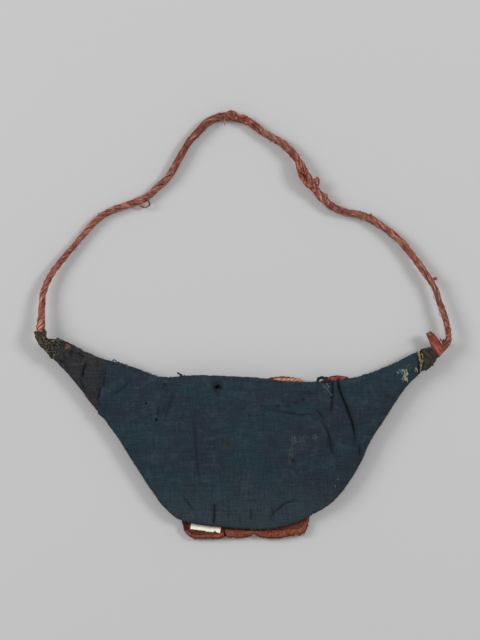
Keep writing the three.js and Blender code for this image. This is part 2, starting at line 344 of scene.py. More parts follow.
def cross_frames(path):
    """Two directions across the path at each point, carried along it without twisting."""
    frames = []
    side = None
    for index, point in enumerate(path):
        ahead = path[min(index + 1, len(path) - 1)] - path[max(index - 1, 0)]
        ahead.normalize()
        if side is None:
            side = ahead.cross(Vector((0, 0, 1)))
            if side.length < 0.1:
                side = ahead.cross(Vector((0, 1, 0)))
        side = (side - ahead * side.dot(ahead)).normalized()
        frames.append((side, ahead.cross(side)))
    return frames


print("path helpers ready")


# %% Tube helpers
def roll_tube(bm, path, sides, radius_at, turns_at=None):
    """Rolls a grid round the path; radius_at takes the distance along and the angle of one point.

    turns_at tells how many turns the twist has made at a distance, and the UV turns back with it.
    """
    uv = bm.loops.layers.uv.get("UVMap") or bm.loops.layers.uv.new("UVMap")
    rows = len(path) - 1
    grid = bmesh.ops.create_grid(bm, x_segments=sides, y_segments=rows, size=0.5, calc_uvs=True)
    reached = distances(path)
    frames = cross_frames(path)
    flat = {vert: vert.co.copy() for vert in grid["verts"]}
    faces = {face for vert in grid["verts"] for face in vert.link_faces}
    for face in faces:
        for loop in face.loops:
            spot = flat[loop.vert]
            along = reached[round((spot.y + 0.5) * rows)]
            loop[uv].uv = (along, spot.x + 0.5 - (turns_at(along) if turns_at else 0))
    for vert, spot in flat.items():
        row = round((spot.y + 0.5) * rows)
        angle = (spot.x + 0.5) * 2 * math.pi
        side, up = frames[row]
        outward = side * math.cos(angle) + up * math.sin(angle)
        vert.co = path[row] + outward * radius_at(reached[row], angle)
    bmesh.ops.remove_doubles(bm, verts=grid["verts"], dist=1e-7)
    rim = [edge for edge in bm.edges if edge.is_boundary]
    bmesh.ops.holes_fill(bm, edges=rim, sides=0)


def tube_end(along, whole, over, least):
    """A tube's share of its full radius, which rounds off to the least share over its ends."""
    near = min(1.0, along / over, (whole - along) / over)
    return least + (1 - least) * math.sqrt(max(0.0, near))


print("tube helpers ready")

# %% [markdown]
# ## The strap
# The strap is the bag's cord: strips of red cloth twisted together and worn smooth. Modelling each strip
# would hide them in each other, so one tube carries the twist in its radius: three plies round it, each
# a raised ridge that climbs along the tube, with dark grooves between. Small folds break the ridges up,
# because hand-twisted cloth is never even. The tube's thickness follows a short table, from the flared
# end at the tie to the thin places where the cloth has worn away.

# %% Strap route
STRAP_ROUTE = [
    (-166.6, 85.8, 11.6), (-166, 89.4, 11), (-165.5, 98.3, 9.8), (-165.2, 108.6, 9), (-164, 120.5, 7.9),
    (-159.7, 131.4, 6.8), (-154, 140.6, 5.8), (-146.3, 150.4, 5), (-138.4, 159.7, 4.4),
    (-129.7, 170.2, 4), (-121.5, 179.5, 3.7), (-112.4, 186.9, 3.5), (-100.5, 192.4, 3.4),
    (-88.6, 196.3, 3.4), (-77, 201.2, 3.6), (-67.7, 209.1, 3.8), (-58.4, 217.9, 4.2),
    (-51.6, 228.4, 4.6), (-46.2, 238.4, 4.8), (-40.3, 248.2, 4.8), (-32.4, 257.1, 4.6),
    (-23.8, 265.6, 4.2), (-12.8, 270.4, 3.8), (-3.6, 269.8, 3.8), (9.5, 266.4, 4.4), (25.4, 255.4, 5.4),
    (37.3, 248.6, 6.2), (47, 240, 7), (55.3, 229, 7.4), (62.6, 216.8, 7.2), (70.4, 204.4, 6.6),
    (80.4, 194.4, 5.6), (92.8, 189, 4.8), (105.6, 186.4, 4.4), (118.4, 180.8, 4.6), (140.2, 163.8, 6),
    (158.7, 139.7, 7.6), (168.3, 125.6, 8.5), (173.2, 112, 9), (178.5, 96.2, 9.4), (180.6, 84, 9.8),
    (180, 78.4, 10.6), (177.6, 74.2, 11.2), (174.6, 70.8, 10.8),
]
STRAP_THICKNESS = 6.1
STRAP_STEP = 0.8
strap_path = smooth_path(STRAP_ROUTE, STRAP_STEP)
strap_reached = distances(strap_path)
strap_length = strap_reached[-1]
print(f"strap {strap_length:.3f} m long")

# %% Tables of the strap
# how far along, in millimetres, and how many turns the twist has made by there
STRAP_TWIST = [
    (0, 0), (60, 2.3), (190, 6.4), (290, 7.6), (400, 10.2), (430, 10.7), (510, 11.7), (560, 12.8),
]
# how far along, and how deep the grooves between the plies are, as a share of the radius
STRAP_GROOVES = [
    (0, 0.2), (40, 0.22), (150, 0.17), (200, 0.09), (275, 0.06), (300, 0.14), (380, 0.13), (400, 0.08),
    (450, 0.08), (480, 0.14), (560, 0.15),
]
# how far along, and how lumpy the cloth is, as a share of the radius
STRAP_LUMPS = [
    (0, 0.1), (150, 0.1), (200, 0.06), (275, 0.07), (300, 0.2), (400, 0.17), (500, 0.17), (518, 0.32),
    (560, 0.3),
]
# how far along, in millimetres, and the radius there
STRAP_RADII = [
    (0, 3), (4, 4), (8, 3.7), (16, 2.9), (32, 2.75), (54, 2.6), (72, 2.6), (80, 2.35), (92, 2.35),
    (104, 2.7), (142, 2.95), (192, 3), (214, 2.75), (224, 2.95), (235, 3.2), (246, 3.45), (256, 3),
    (268, 3.3), (288, 3.2), (300, 2.9), (312, 3.2), (328, 3.3), (338, 2.75), (350, 2.75), (358, 3.2),
    (374, 3.3), (386, 3), (408, 2.9), (419, 3.2), (430, 2.8), (450, 2.9), (472, 2.8), (482, 3),
    (492, 2.55), (502, 2.4), (522, 2.3), (534, 2.25), (545, 2.2), (556, 1.9),
]
print(len(STRAP_RADII), "radii along the strap")

# %% Strap shape
STRAP_PLIES = 3
STRAP_SIDES = 40
STRAP_END = 1.5  # the ends are rounded over this length
FOLD_LENGTH = 6  # of the small folds, along the strap
WANDER_TURNS = 0.22  # the twist runs ahead or behind by up to this many turns
WANDER_LENGTH = 23  # and changes over about this length


def in_table(table, at):
    """A value read off a table of (place, value) rows, straight between the rows."""
    for (low, first), (high, second) in zip(table, table[1:]):
        if at <= high:
            return first + (second - first) * max(0.0, at - low) / (high - low)
    return table[-1][1]


def strap_turns(along):
    """How many turns the twist has made; hands never twist quite evenly."""
    wander = noise.noise(Vector((along / (WANDER_LENGTH * MM), 3.7, 0)))
    return in_table(STRAP_TWIST, along / MM) + WANDER_TURNS * wander


def strap_radius(along, angle):
    """The radius with its plies and with folds of three sizes."""
    radius = in_table(STRAP_RADII, along / MM)
    groove = in_table(STRAP_GROOVES, along / MM)
    lumps = in_table(STRAP_LUMPS, along / MM)
    twisted = angle - 2 * math.pi * strap_turns(along)
    ply = abs(math.cos(twisted * STRAP_PLIES / 2))
    round_it = Vector((1.7 * math.cos(twisted), 1.7 * math.sin(twisted), along / (FOLD_LENGTH * MM)))
    folds = noise.noise(round_it) + 0.6 * noise.noise(round_it * 2.1) + 0.4 * noise.noise(round_it * 4.3)
    closed = tube_end(along, strap_length, STRAP_END * MM, least=0.35)
    return MM * radius * closed * (1.03 - groove * (1 - ply**0.7) + lumps * folds)


strap_bm = bmesh.new()
roll_tube(strap_bm, strap_path, STRAP_SIDES, strap_radius, strap_turns)
print(f"strap: {len(strap_bm.verts)} points")

# %% [markdown]
# ## The strap's finish
# Worn red cloth has no single red, and the hue drifts along the strap. Shade is painted dark into the
# grooves between the plies and into thin crevices between the strips. One stretch is grimy from the hand,
# two are rubbed pale, and a cream strip shows at the left end. All patterns turn with the twist: the way
# round is turned back by the pitch and put on a circle, so that the pattern has no seam where the tube
# closes.


# %% Turning patterns
def twisted_place(place, radius):
    """The distance along a twisted tube, the angle that turns with it, and both as a place."""
    along, turn = axes(place.node("UVMap", {"uv_map": "UVMap"}))[:2]
    round_it = turn * (2 * math.pi)
    sockets = {
        "X": place.math("COSINE", round_it) * (radius * MM),
        "Y": place.math("SINE", round_it) * (radius * MM),
        "Z": along,
    }
    return along, round_it, place.node("CombineXYZ", None, sockets)


def lines_of(value, low, high):
    """Thin lines where a noise crosses its middle."""
    return step(1 - value.math("ABSOLUTE", value * 2 - 1), low, high)


def on_stretch(along, start, stop, soft=12):
    """1 between two distances along the strap, with soft ends, all in millimetres."""
    begun = step(along, (start - soft) * MM, (start + soft) * MM)
    lasting = step(along, (stop + soft) * MM, (stop - soft) * MM)
    return begun * lasting


print("turning patterns ready")

# %% Strap finish
FRESH_UNTIL, FRESH_FROM = 190, 20  # the dye gets fresher from the one to the other distance
CREAM_STRIP = {"x": -166.2, "half_width": 2.4, "core": 0.6, "until": 12, "fades_from": 5}
GRIMY_STRETCH = (206, 288)
RUBBED_STRETCHES = [(90, 120), (446, 482)]
strap_finish, strap_shader, place = start_finish("worn red strap", roughness=0.95)
along, round_it, turned = twisted_place(place, STRAP_THICKNESS / 2)
groove = 1 - place.math("ABSOLUTE", place.math("COSINE", round_it * (STRAP_PLIES / 2)))
strips = spread(turned, (1.0, 1.0, 12), detail=4, rough=0.7)
fibres = spread(turned, (0.35, 0.35, 2.4), detail=3, rough=0.7, shift=7.0)
drift = spread(turned, (30, 30, 40), detail=2, shift=3.0)
patches = spread(turned, (2.4, 2.4, 6), detail=4, rough=0.65, shift=11.0)
tufts = spread(turned, (1, 1, 1.6), detail=3, rough=0.7, shift=17.0)
stains = spread(turned, (5, 5, 9), detail=3, rough=0.6, shift=23.0)
# painted shade: thin dark crevices along the strips, with a matching dip in the bump
crevice_shade_lines = lines_of(strips, 0.85, 0.97)
colour = mix(step(drift, 0.38, 0.62), srgb(173, 117, 97), srgb(171, 103, 87))
colour = mix(step(along, FRESH_UNTIL * MM, FRESH_FROM * MM) * 0.7, colour, srgb(196, 116, 100))
grimy = on_stretch(along, *GRIMY_STRETCH)
colour = mix(step(strips, 0.52, 0.66) * (0.45 - grimy * 0.3), colour, srgb(198, 154, 128))
colour = mix(step(patches, 0.5, 0.38) * 0.7, colour, srgb(136, 57, 48))
colour = mix(step(stains, 0.58, 0.7) * 0.55, colour, srgb(112, 84, 58))
colour = mix(step(tufts, 0.58, 0.7) * 0.6, colour, srgb(206, 166, 138))
beside = place.math("ABSOLUTE", axes(place)[0] - CREAM_STRIP["x"] * MM)
cream = step(beside, CREAM_STRIP["half_width"] * MM, CREAM_STRIP["core"] * MM)
cream = cream * step(along, CREAM_STRIP["until"] * MM, CREAM_STRIP["fades_from"] * MM)
colour = mix(cream * 0.7, colour, srgb(224, 178, 134))
colour = mix(grimy * 0.35, colour, srgb(100, 50, 34))
colour = mix(crevice_shade_lines * 0.8, colour, srgb(66, 28, 24))
# painted shade: the grooves between the plies are darkened in patches
painted_groove_shade = step(groove, 0.5, 0.95) * step(patches, 0.66, 0.42)
colour = mix(painted_groove_shade * 0.8, colour, srgb(66, 27, 23))
strap_tone = 0.34 + strips * 0.7 + fibres * 0.95 + tufts * 0.5
for start, stop in RUBBED_STRETCHES:
    strap_tone = strap_tone + on_stretch(along, start, stop) * 0.25
strap_height = strips * 0.8 + fibres * 0.5 + tufts * 0.5 - crevice_shade_lines * 0.5
wear(strap_shader, toned(colour, strap_tone), strap_height, 1.0, strength=0.9)
strap = new_piece("twisted_strap", strap_bm, strap_finish, ["strap"])

# %% [markdown]
# ## Cloth walls
# The pouch is two walls of hand-woven cloth sewn along the foot and open at the mouth. Each solid wall
# has straight threads of points from its mouth edge to its foot edge. A fine grid is laid between the
# same two edges and dropped on the solid, which gives a cloth of small even squares to crease and wear.
# A cloth simulation would lose the creases that years of use have set, so they are pressed in one by one.


# %% Edges of a wall
def one_side(node_name, up):
    """A merged copy of the side of a solid wall that faces up, or down where up is -1."""
    bm = bmesh.new()
    bm.from_mesh(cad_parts[node_name].data)
    bmesh.ops.remove_doubles(bm, verts=bm.verts, dist=1e-6)
    away = [face for face in bm.faces if face.normal.z * up < 0.2]
    bmesh.ops.delete(bm, geom=away, context="FACES")
    return bm


def rim_points(bm):
    """The points round the edge of a sheet, in order."""
    first = next(edge for edge in bm.edges if edge.is_boundary)
    ring = list(first.verts)
    while ring[-1] != ring[0]:
        here, before = ring[-1], ring[-2]
        onward = [edge.other_vert(here) for edge in here.link_edges if edge.is_boundary]
        ring.append(next(vert for vert in onward if vert != before))
    return [vert.co.copy() for vert in ring[:-1]]


def mouth_and_foot(ring, corners):
    """The mouth edge and the foot edge, both from left to right, between four corners of the ring."""
    def nearest(corner):
        return min(range(len(ring)), key=lambda index: (ring[index].xy - Vector(corner) * MM).length)

    start, mouth_end, foot_end, foot_start = [nearest(corner) for corner in corners]
    turned = [ring[(start + index) % len(ring)] for index in range(len(ring))]
    ends = [(mark - start) % len(ring) for mark in (mouth_end, foot_end, foot_start)]
    if ends[0] > ends[1]:
        turned = [turned[-index] for index in range(len(ring))]
        ends = [len(ring) - mark for mark in ends]
    return turned[: ends[0] + 1], turned[ends[1]: ends[2] + 1][::-1]


print("edge helpers ready")

# %% Laying a cloth
from mathutils.bvhtree import BVHTree

EDGE_ROUGHNESS = 0.55  # how far the cut edges wander, in millimetres
EDGE_SHARE = 0.002  # rays keep this share of the cloth inside its edges
RAY_HEIGHT = 0.1  # and start this many metres away
WEAR_AND_SHADE_LAYERS = ("brown", "pale", "dark", "crease", "pressed")


def soft_noise(x, y, size, seed):
    """Noise from -1 to 1 with blotches of this size in millimetres."""
    return noise.noise(Vector((x / size, y / size, seed)))


def at_share(row, share):
    """What a row of vectors comes to at a share of its steps."""
    at = share * (len(row) - 1)
    index = min(int(at), len(row) - 2)
    return row[index].lerp(row[index + 1], at - index)


def lay_cloth(node_name, up, corners, columns, rows, settle):
    """A fine cloth on one side of a solid wall, and where each of its points is on that cloth."""
    solid = one_side(node_name, up)
    mouth, foot = mouth_and_foot(rim_points(solid), corners)
    ground = BVHTree.FromBMesh(solid)
    solid.free()
    bm = bmesh.new()
    bm.loops.layers.uv.new("UVMap")
    for wear_name in WEAR_AND_SHADE_LAYERS:
        bm.verts.layers.float.new(wear_name)
    grid = bmesh.ops.create_grid(bm, x_segments=columns, y_segments=rows, size=0.5, calc_uvs=True)
    spots = {}
    for vert in grid["verts"]:
        share, down = vert.co.x + 0.5, 0.5 - vert.co.y
        top, bottom = at_share(mouth, share), at_share(foot, share)
        across = (top - bottom).normalized() * EDGE_ROUGHNESS * MM
        top_stray = soft_noise(top.x / MM, 0, 2.3, 1.5) + soft_noise(top.x / MM, 0, 6, 2.5)
        foot_stray = soft_noise(bottom.x / MM, 9, 3.1, 3.5) + soft_noise(bottom.x / MM, 9, 8, 4.5)
        top = top + across * top_stray
        bottom = bottom + across * foot_stray
        vert.co = top.lerp(bottom, down)
        inside = top.lerp(bottom, min(max(down, EDGE_SHARE), 1 - EDGE_SHARE))
        hit = ground.ray_cast(inside + Vector((0, 0, up * RAY_HEIGHT)), Vector((0, 0, -up)))[0]
        if hit is not None:
            vert.co.z = hit.z
        span = (bottom - top).length / MM
        spots[vert] = {"share": share, "from_mouth": down * span, "from_foot": (1 - down) * span}
    inner = [vert for vert in grid["verts"] if not vert.is_boundary]
    for _ in range(settle):
        bmesh.ops.smooth_vert(bm, verts=inner, factor=0.5, use_axis_z=True)
    return bm, spots


print("cloth helpers ready")

# %% [markdown]
# ## Creases and wear of the back wall
# The creases, moth holes, stains and rubbed threads were read off the photograph one by one. A crease is
# a line of points with a depth and a width: the cloth sinks along it, rises a little beside it, and has
# shade painted on it.
# A mark is a spot with a size and a strength, and each kind of mark feeds one colour of the finish.

# %% Table of creases
CREASE_REACH = 8


def crease(depth, width, *points, runs_on=False):
    """A crease with its depth, width and line in millimetres; one that runs on has no soft start."""
    xs, ys = zip(*points)
    return {
        "depth": depth,
        "width": width,
        "line": [Vector(point) for point in points],
        "runs_on": runs_on,
        "x_range": (min(xs) - CREASE_REACH, max(xs) + CREASE_REACH),
        "y_range": (min(ys) - CREASE_REACH, max(ys) + CREASE_REACH),
    }


CREASES = [
    crease(1.9, 1.2, (86, 46), (89.4, 33.6), (94.5, 21.7), (98.8, 10.6), (100.5, 1.3),
           (100.9, -15.8), runs_on=True),
    crease(1.3, 1.1, (82.2, 46), (81.7, 32.8), (80.5, 14.9), runs_on=True),
    crease(1.1, 1.1, (72.4, 11.5), (76.6, 4.7), (79.2, -3), (80.9, -12.3), (82.6, -20)),
    crease(0.6, 1.0, (-34.9, 16), (-34.6, 4), (-34.1, -8), (-32.4, -31.1), (-29.8, -45.6)),
    crease(1.1, 1.9, (-49.8, 38.5), (-53.2, 29.5), (-56.2, 24.3), (-59, 17), (-61, 11.5)),
    crease(0.9, 1.3, (-57.9, 43.9), (-63.9, 37)),
    crease(1.0, 1.7, (-87.7, 48.1), (-95.4, 38.7), (-107.3, 30.2)),
    crease(1.2, 0.9, (-18.3, -61), (-18.5, -70), (-18.7, -80), runs_on=True),
    crease(0.9, 1.1, (54.5, -55.8), (41.7, -59.2), (31.5, -67.7), (29, -75.4)),
    crease(0.6, 0.9, (22.1, 21.7), (37.5, 19.2), (54.5, 15.8), (69.8, 17.5)),
    crease(0.8, 0.8, (67.4, 20.2), (74.9, 14)),
    crease(0.9, 0.8, (104.7, -8.9), (105.6, -20)),
    crease(0.7, 0.9, (-65.6, 24.3), (-66, 14)),
    crease(0.6, 0.9, (12.4, -62), (12.8, -74)),
    crease(0.8, 1.0, (-45.6, -52), (-38.2, -62.6), (-35.4, -66)),
    crease(0.4, 0.9, (-6.6, -60), (-6.2, -72)),
    crease(0.4, 0.9, (30, -60), (31, -70)),
    crease(1.5, 1.0, (-126, 62.6), (-129.4, 54.1), (-130.3, 45.6)),
    crease(0.8, 0.9, (-133, 48), (-129.6, 40.6), (-127, 33)),
    crease(0.8, 0.9, (-147, 70), (-145.6, 66), (-143, 61.6)),
    crease(0.7, 0.9, (-136.2, 69.4), (-127.7, 64.3)),
    crease(0.6, 1.0, (-152.6, 64.4), (-146, 60.4), (-140.6, 53.4)),
]
print(len(CREASES), "creases")

# %% Tables of marks and moth holes
# x, y, half width, half height, strength
BROWN_MARKS = [
    (-7.2, -9.8, 4.8, 3.6, 1), (9.4, -41.3, 9, 5, 0.2), (40, -41.3, 12, 8, 0.2), (-3.4, -31.9, 10, 8, 0.2),
    (-73.2, -5.5, 10, 16, 0.15), (-34.9, -48.1, 12, 10, 0.2), (78.3, -55.8, 4, 4, 0.6),
    (52, -4, 16, 10, 0.2), (130, 40, 16, 14, 0.1), (-140.8, 71.6, 5, 4, 0.8), (-13.4, 42.4, 3.2, 2, 0.9),
]
PALE_MARKS = [
    (49.2, -5.5, 3.4, 5, 0.75), (57.1, -3.8, 6, 4, 0.5), (67, -2.6, 3, 3.4, 0.7), (46.8, -15.8, 4, 8, 0.55),
    (45.4, -24, 3.4, 3, 0.5), (54, -10, 9, 7, 0.4), (67, -14, 3, 4, 0.55), (143.6, 49, 2.6, 6, 1),
    (140.8, 53.4, 3.6, 2.6, 0.8), (142, 46.4, 2.4, 2.6, 1), (147, 57, 3.4, 4, 0.5), (150, 60, 6, 6, 0.3),
    (77, 38, 3, 6, 0.3), (40, -41.3, 8, 5, 0.3), (8, -43, 8, 6, 0.3), (-59.6, 45, 1.6, 2.4, 0.6),
    (-148, 67, 6, 7, 0.25),
]
DARK_MARKS = [
    (48.4, -22.4, 2.6, 2.4, 1), (34.9, 23.6, 2.8, 1.9, 1), (44.2, 24, 2, 1.6, 0.9),
    (51.1, 26.8, 2, 1.7, 0.95), (57.1, 29.6, 1.8, 1.6, 0.95), (62.4, 35.3, 2.6, 2, 0.6),
    (11.1, 15.8, 1.5, 1.3, 0.9), (14.6, 15.6, 1.4, 1.2, 0.8), (17.9, 15.8, 1.5, 1.3, 0.9),
    (23, 16.6, 1.5, 1.3, 0.9), (-15.8, 40.4, 5.6, 6, 1), (-15, 35, 2.4, 3, 0.7),
    (-139.6, 68.8, 3, 3.4, 0.8),
]
# x, y, half width, half height
MOTH_HOLES = [
    (-15.8, 39.8, 2.7, 2.1), (-76.1, 26.2, 1.3, 1.2), (-67.3, 12.6, 1.3, 1.2), (-142.8, 74.2, 3.5, 3.3),
    (-149.2, 61.7, 0.9, 0.9),
]
print(len(BROWN_MARKS) + len(PALE_MARKS) + len(DARK_MARKS), "marks and", len(MOTH_HOLES), "holes")

# %% Creases at a place
CREASE_TAPER = 4  # a crease has its full depth from a quarter of its length on
LAP_REACH = 4.5  # the cloth laps a little over the crease from one side, as far as this
CREASE_SHADE_REACH = 2.4


def within(value):
    """A number held between 0 and 1."""
    return min(1.0, max(0.0, value))


def bell(off, width):
    """1 in the middle and less to both sides, as a soft bump of this width."""
    return math.exp(-((off / width) ** 2))


def line_nearness(place, line):
    """How far left of a line a place is, negative on its right, and its share along the line."""
    best = (math.inf, 0.0)
    for index, (start, stop) in enumerate(zip(line, line[1:])):
        share = within(intersect_point_line(place, start, stop)[1])
        off = place - start.lerp(stop, share)
        if off.length < abs(best[0]):
            ahead = stop - start
            left = ahead.x * off.y - ahead.y * off.x
            best = (math.copysign(off.length, left), (index + share) / (len(line) - 1))
    return best


def crease_at(place):
    """Height of the creases at a place, how far off the nearest one is, and how strongly shade is painted
    there.
    """
    height, nearest, pressed = 0.0, CREASE_REACH, 0.0
    for row in CREASES:
        depth, width = row["depth"], row["width"]
        (low_x, high_x), (low_y, high_y) = row["x_range"], row["y_range"]
        if not (low_x < place.x < high_x and low_y < place.y < high_y):
            continue
        off, share = line_nearness(place, row["line"])
        away = abs(off)
        taper = min(1.0, CREASE_TAPER * (1 - share))
        if not row["runs_on"]:
            taper = min(taper, CREASE_TAPER * share)
        raised = bell(away - 2.6 * width, 1.3 * width)
        lapped = math.tanh(off / width) * bell(away, LAP_REACH)
        height += depth * taper * (0.3 * raised + 0.35 * lapped - bell(away, width))
        if away < abs(nearest):
            nearest = off
            pressed = taper * min(1.0, 0.7 * depth / width) * bell(away, CREASE_SHADE_REACH)
    return height, nearest, pressed


print("crease helpers ready")


# %% Marks and holes at a place
def mark_at(marks, place):
    """The strongest of the marks at a place, from 0 to 1, with ragged edges."""
    strongest = 0.0
    for x, y, half_width, half_height, strength in marks:
        away = math.hypot((place.x - x) / half_width, (place.y - y) / half_height)
        if away < 1.6:
            ragged = away + 0.35 * soft_noise(place.x, place.y, 2.2, 4.0)
            strongest = max(strongest, strength * within(1.5 * (1.2 - ragged)))
    return strongest


def in_moth_hole(place):
    """Whether moths have eaten the cloth at a place; a hole's edge is ragged and runs along the yarns."""
    for x, y, half_width, half_height in MOTH_HOLES:
        across, upward = (place.x - x) / half_width, (place.y - y) / half_height
        way = math.atan2(upward, across)
        edge = 0.85 + 0.14 * math.sin(3 * way + x) + 0.14 * math.sin(5 * way + y)
        if math.hypot(across, upward) < edge + 0.6 * soft_noise(place.x, place.y, 1.2, 8.0):
            return True
    return False


def eat_holes(bm):
    """Takes the moth holes out of a cloth."""
    eaten = [face for face in bm.faces if in_moth_hole(face.calc_center_median().xy / MM)]
    bmesh.ops.delete(bm, geom=eaten, context="FACES")
    print("faces eaten by moths:", len(eaten))


print("mark helpers ready")

# %% [markdown]
# ## The back wall
# This is the indigo cloth that fills the view. Besides the listed creases it has soft waves from being
# stuffed and emptied, small puckers where the oversewn foot seam draws it in, and a folded hem along the
# mouth. The foot edge turns down, and a soft dark line of painted shade runs along it.

# %% Cloth pressing
HEM = {"from_mouth": 6.5, "width": 0.9, "depth": 0.25}
PUCKERS = {"size": 4.2, "stretch": 5, "reach": 8}  # along the foot, which draws the cloth in
TURNED_DOWN = 2.6  # the foot edge turns down over this width
# the foot edge is painted darker over this width, as shade
FOOT_SHADE = 1.8
FREE_FROM = 9  # the cloth waves freely this far from its edges
# height, size and seed of each wave
WAVES = [(0.8, 36, 1.0), (0.3, 13, 2.0), (0.1, 4.5, 3.0)]


def wave_at(x, y):
    """Soft waves of the whole cloth, in millimetres."""
    return sum(height * soft_noise(x, y, size, seed) for height, size, seed in WAVES)


def press_cloth(bm, spots, foot_length, wave_share, up=1):
    """Presses waves, creases, puckers, hem and turned edge into a cloth, and marks its wear and its painted
    shade.
    """
    layers = {name: bm.verts.layers.float[name] for name in WEAR_AND_SHADE_LAYERS}
    for vert, spot in spots.items():
        place = vert.co.xy / MM
        from_foot = spot["from_foot"]
        height, nearest, pressed = crease_at(place) if up > 0 else (0.0, CREASE_REACH, 0.0)
        free = min(1.0, from_foot / FREE_FROM, (spot["from_mouth"] + 2) / FREE_FROM)
        height = height * min(1.0, free * 2) + wave_share * wave_at(place.x, place.y) * free
        along_foot = spot["share"] * foot_length
        pucker = soft_noise(along_foot, from_foot / PUCKERS["stretch"], PUCKERS["size"], 5.0)
        height += pucker * bell(from_foot, PUCKERS["reach"]) * min(1.0, from_foot / 1.5)
        height -= max(0.0, 1 - from_foot / TURNED_DOWN) ** 2
        height -= HEM["depth"] * bell(spot["from_mouth"] - HEM["from_mouth"], HEM["width"])
        vert.co.z += up * height * MM
        # painted shade along the foot, where the edge turns down
        vert[layers["dark"]] = 0.5 * max(0.0, 1 - from_foot / FOOT_SHADE)
        vert[layers["crease"]] = nearest
        vert[layers["pressed"]] = pressed
        if up > 0:
            vert[layers["brown"]] = mark_at(BROWN_MARKS, place)
            vert[layers["pale"]] = mark_at(PALE_MARKS, place)
            vert[layers["dark"]] = max(vert[layers["dark"]], mark_at(DARK_MARKS, place))


print("cloth pressing ready")

# %% Back wall
CLOTH = 1.5  # the thickness of the walls
BACK_CORNERS = [(-109, 62.3), (155.4, 70.2), (156.8, 51.6), (-115.7, 17.2)]
BACK_COLUMNS = 326
BACK_ROWS = 140
# the back wall's left edge laps this far over the grey arm
LAP_WIDTH = 2.2
LAP_RISE = 0.4
LAP_SHARE = 0.014


def give_thickness(bm, thickness, up):
    """Turns a sheet into a closed cloth of this thickness in millimetres."""
    made = bmesh.ops.extrude_face_region(bm, geom=bm.faces[:])
    inner = [item for item in made["geom"] if isinstance(item, bmesh.types.BMVert)]
    for vert in inner:
        vert.co.z -= up * thickness * MM
    bmesh.ops.recalc_face_normals(bm, faces=bm.faces[:])


back_bm, back_spots = lay_cloth("back_panel", 1, BACK_CORNERS, BACK_COLUMNS, BACK_ROWS, settle=24)
press_cloth(back_bm, back_spots, foot_length=330, wave_share=1.0)
for vert, spot in back_spots.items():
    lap = max(0.0, 1 - spot["share"] / LAP_SHARE)
    ragged = 1 + 0.3 * soft_noise(0, vert.co.y / MM, 2.4, 7.0)
    vert.co += Vector((-LAP_WIDTH * ragged * lap, 0, LAP_RISE * lap**0.5)) * MM
eat_holes(back_bm)
give_thickness(back_bm, CLOTH, up=1)

# %% [markdown]
# ## The woven finish
# The cloth is a plain weave of hand-spun yarn, so no two yarns took the dye alike. Long thin streaks run
# both ways, broad patches drift between a teal blue and a worn brown grey, and the marks of the tables
# are laid over them. The weave itself is finer than the picture shows and only gives the light its grain.

# %% Woven finish
LIGHTER_FROM, LIGHTER_TO = -28, -78  # the cloth is lighter towards its foot, between these heights
LIGHTER_FOOT = srgb(51, 63, 68)


def woven_finish(name, fresh, faded, bleached, seed, contrast):
    """Hand-woven cloth between two tones, bleached in places, with the marks and creases of the mesh."""
    material, shader, place = start_finish(name, sheen=0.04)
    knots, upper = weave(place, 0.62)
    warp = spread(place, (0.9, 13, 9), detail=4, rough=0.65, shift=seed)
    weft = spread(place, (17, 0.9, 9), detail=4, rough=0.65, shift=seed + 5)
    grain = spread(place, (1.3, 1.1, 1.3), detail=4, rough=0.75, shift=seed + 3)
    drift = spread(place, (32, 26, 34), detail=4, rough=0.62, shift=seed + 9)
    worn = spread(place, (11, 8, 12), detail=4, rough=0.65, shift=seed + 13)
    flecks = spread(place, (1.0, 0.8, 1.0), detail=2, rough=0.6, shift=seed + 17)
    colour = mix(step(drift, 0.36, 0.64), fresh, faded)
    colour = mix(step(worn, 0.48, 0.68) * 0.7, colour, bleached)
    towards_foot = step(axes(place)[1] + (worn - 0.5) * 0.03, LIGHTER_FROM * MM, LIGHTER_TO * MM)
    colour = mix(towards_foot * 0.6, colour, LIGHTER_FOOT)
    brown, pale, dark, off_crease, pressed = [layer_of(place, layer) for layer in WEAR_AND_SHADE_LAYERS]
    colour = mix(brown * step(grain, 0.2, 0.5), colour, srgb(46, 42, 44))
    rubbed = step(flecks + pale * 0.1, 0.6, 0.68)
    colour = mix(pale * 0.35, colour, srgb(60, 67, 64))
    colour = mix(pale * pale * rubbed * 0.9, colour, srgb(134, 143, 140))
    # painted shade: a dark line along each crease and a softer shade beside it
    line = place.math("ABSOLUTE", off_crease + (grain - 0.5) * 1.8)
    crease_shade_line = step(line, 1.15, 0.25) * pressed
    shaded = step(line, 3.6, 0.6) * pressed * 0.45
    # the dark layer holds real dark marks and the painted foot shade; shaded is painted crease shade
    colour = mix(place.math("MAXIMUM", dark * 0.85, shaded), colour, srgb(20, 25, 31))
    colour = mix(crease_shade_line * 0.9, colour, srgb(13, 16, 21))
    threads = (warp - 0.5) * (0.6 * contrast) + (weft - 0.5) * (0.7 * contrast) + (grain - 0.5) * contrast
    tone = place.math("MAXIMUM", 1 + threads + (upper - 0.5) * 0.12, 0.3)
    height = knots * 0.25 + threads * 0.9 + grain * 0.3 - crease_shade_line * 0.8
    wear(shader, toned(colour, tone), height, 0.5)
    return material


BLEACHED_BLUE = srgb(45, 60, 67)
indigo_finish = woven_finish(
    "indigo hand weave", srgb(30, 50, 60), srgb(35, 42, 54), BLEACHED_BLUE, seed=0, contrast=2.0
)
back = new_piece("back_wall", back_bm, indigo_finish, ["back_panel"])

# %% [markdown]
# ## The grey arm and the front wall
# The left arm was pieced on in a greyer cloth. Moths have eaten its top, and the tie at its tip draws its
# lower corner in, which a pull that fades with the distance does to both walls. The front wall lies under
# everything, so it needs only its waves and its puckered seam.

# %% Grey arm
ARM_CORNERS = [(-152.4, 81.5), (-109.4, 62.4), (-116.2, 17.9), (-159.7, 64.7)]
